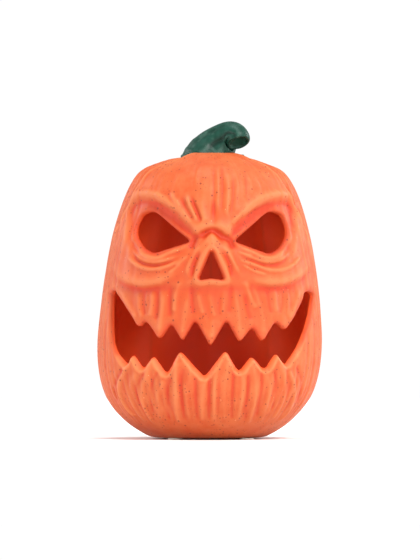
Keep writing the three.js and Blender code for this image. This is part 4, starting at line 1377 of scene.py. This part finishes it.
CAMERA_DISTANCE = 4.0
CAMERA_HEIGHT = 0.0905
CAMERA_AIM = (-0.0006, 0, 0.1005)
VIEW_HEIGHT = 0.355      # what the picture's height takes in at the object
ROOM_LIGHT = 0.55
BACKDROP_LIGHT = 1.02
LIGHTS = [
    ("key", (1.6, -2.1, 2.75), 1.2, 110, (1.0, 0.985, 0.96)),
    ("top", (0, -0.3, 3), 1.5, 46, (1.0, 1.0, 1.0)),
    ("fill", (-2.4, -1.2, 0.9), 1.2, 15, (1.0, 0.97, 0.98)),
    ("front", (0.9, -3.1, 0.4), 1.5, 26, (1.0, 0.985, 0.97)),
    ("low_left", (-1.9, -1.9, 0.3), 0.5, 12, (1.0, 0.985, 0.97)),
    ("low_right", (1.9, -1.9, 0.3), 0.5, 13, (1.0, 0.985, 0.97)),
    ("left_rim", (-2.9, 1.3, 1.2), 1.8, 50, (1.0, 0.98, 1.0)),
    ("right_rim", (2.9, 1.3, 1.2), 1.8, 64, (1.0, 0.98, 1.0)),
]

studio()
glaze = orange_glaze()
shell = make_shell()
finish_shell(shell)
finished(shell, "figure", "orange_glaze", glaze, "shell")
stem = stem_mesh()
finished(stem, "figure", "green_glaze", green_glaze(), "stem")
foot_pads(felt())
plastic = moulded("housing_plastic", (0.72, 0.70, 0.64), (0.82, 0.80, 0.75), 0.35, 0.02)
light_unit(
    plastic,
    moulded("black_rubber", (0.012, 0.012, 0.013), (0.03, 0.03, 0.032), 0.6, 0.03, (0.7, 0.9)),
    milky(),
    led_resin(),
    metal("cell_steel", (0.5, 0.51, 0.52), (0.66, 0.67, 0.68), (3, 3, 0.4)),
)
battery_door(plastic)
switch_slider(moulded("switch_plastic", (0.02, 0.02, 0.022), (0.045, 0.045, 0.05), 0.4, 0.02))
tin = metal("tinned_metal", (0.55, 0.55, 0.54), (0.72, 0.72, 0.70), (4, 4, 0.5))
brass = metal("contact_brass", (0.58, 0.42, 0.14), (0.72, 0.55, 0.24), (0.5, 4, 4))
steel = metal("screw_steel", (0.46, 0.47, 0.49), (0.62, 0.63, 0.65), (2, 2, 2))
black = moulded("black_resin", (0.014, 0.014, 0.015), (0.03, 0.03, 0.032), 0.3, 0.015)
for node, material in [
    ("led_lead_anode", tin), ("led_lead_cathode", tin), ("circuit_board", laminate()), ("timer_chip", black),
    ("resistor", banded_enamel()), ("board_screw_1", steel), ("board_screw_2", steel),
    ("contact_positive", brass), ("contact_negative", brass), ("switch_body", black),
    ("wire_red", moulded("red_insulation", (0.4, 0.012, 0.008), (0.52, 0.03, 0.02), 0.5, 0.01)),
    ("wire_black", moulded("black_insulation", (0.012, 0.012, 0.013), (0.03, 0.03, 0.03))),
]:
    dress(node, material)
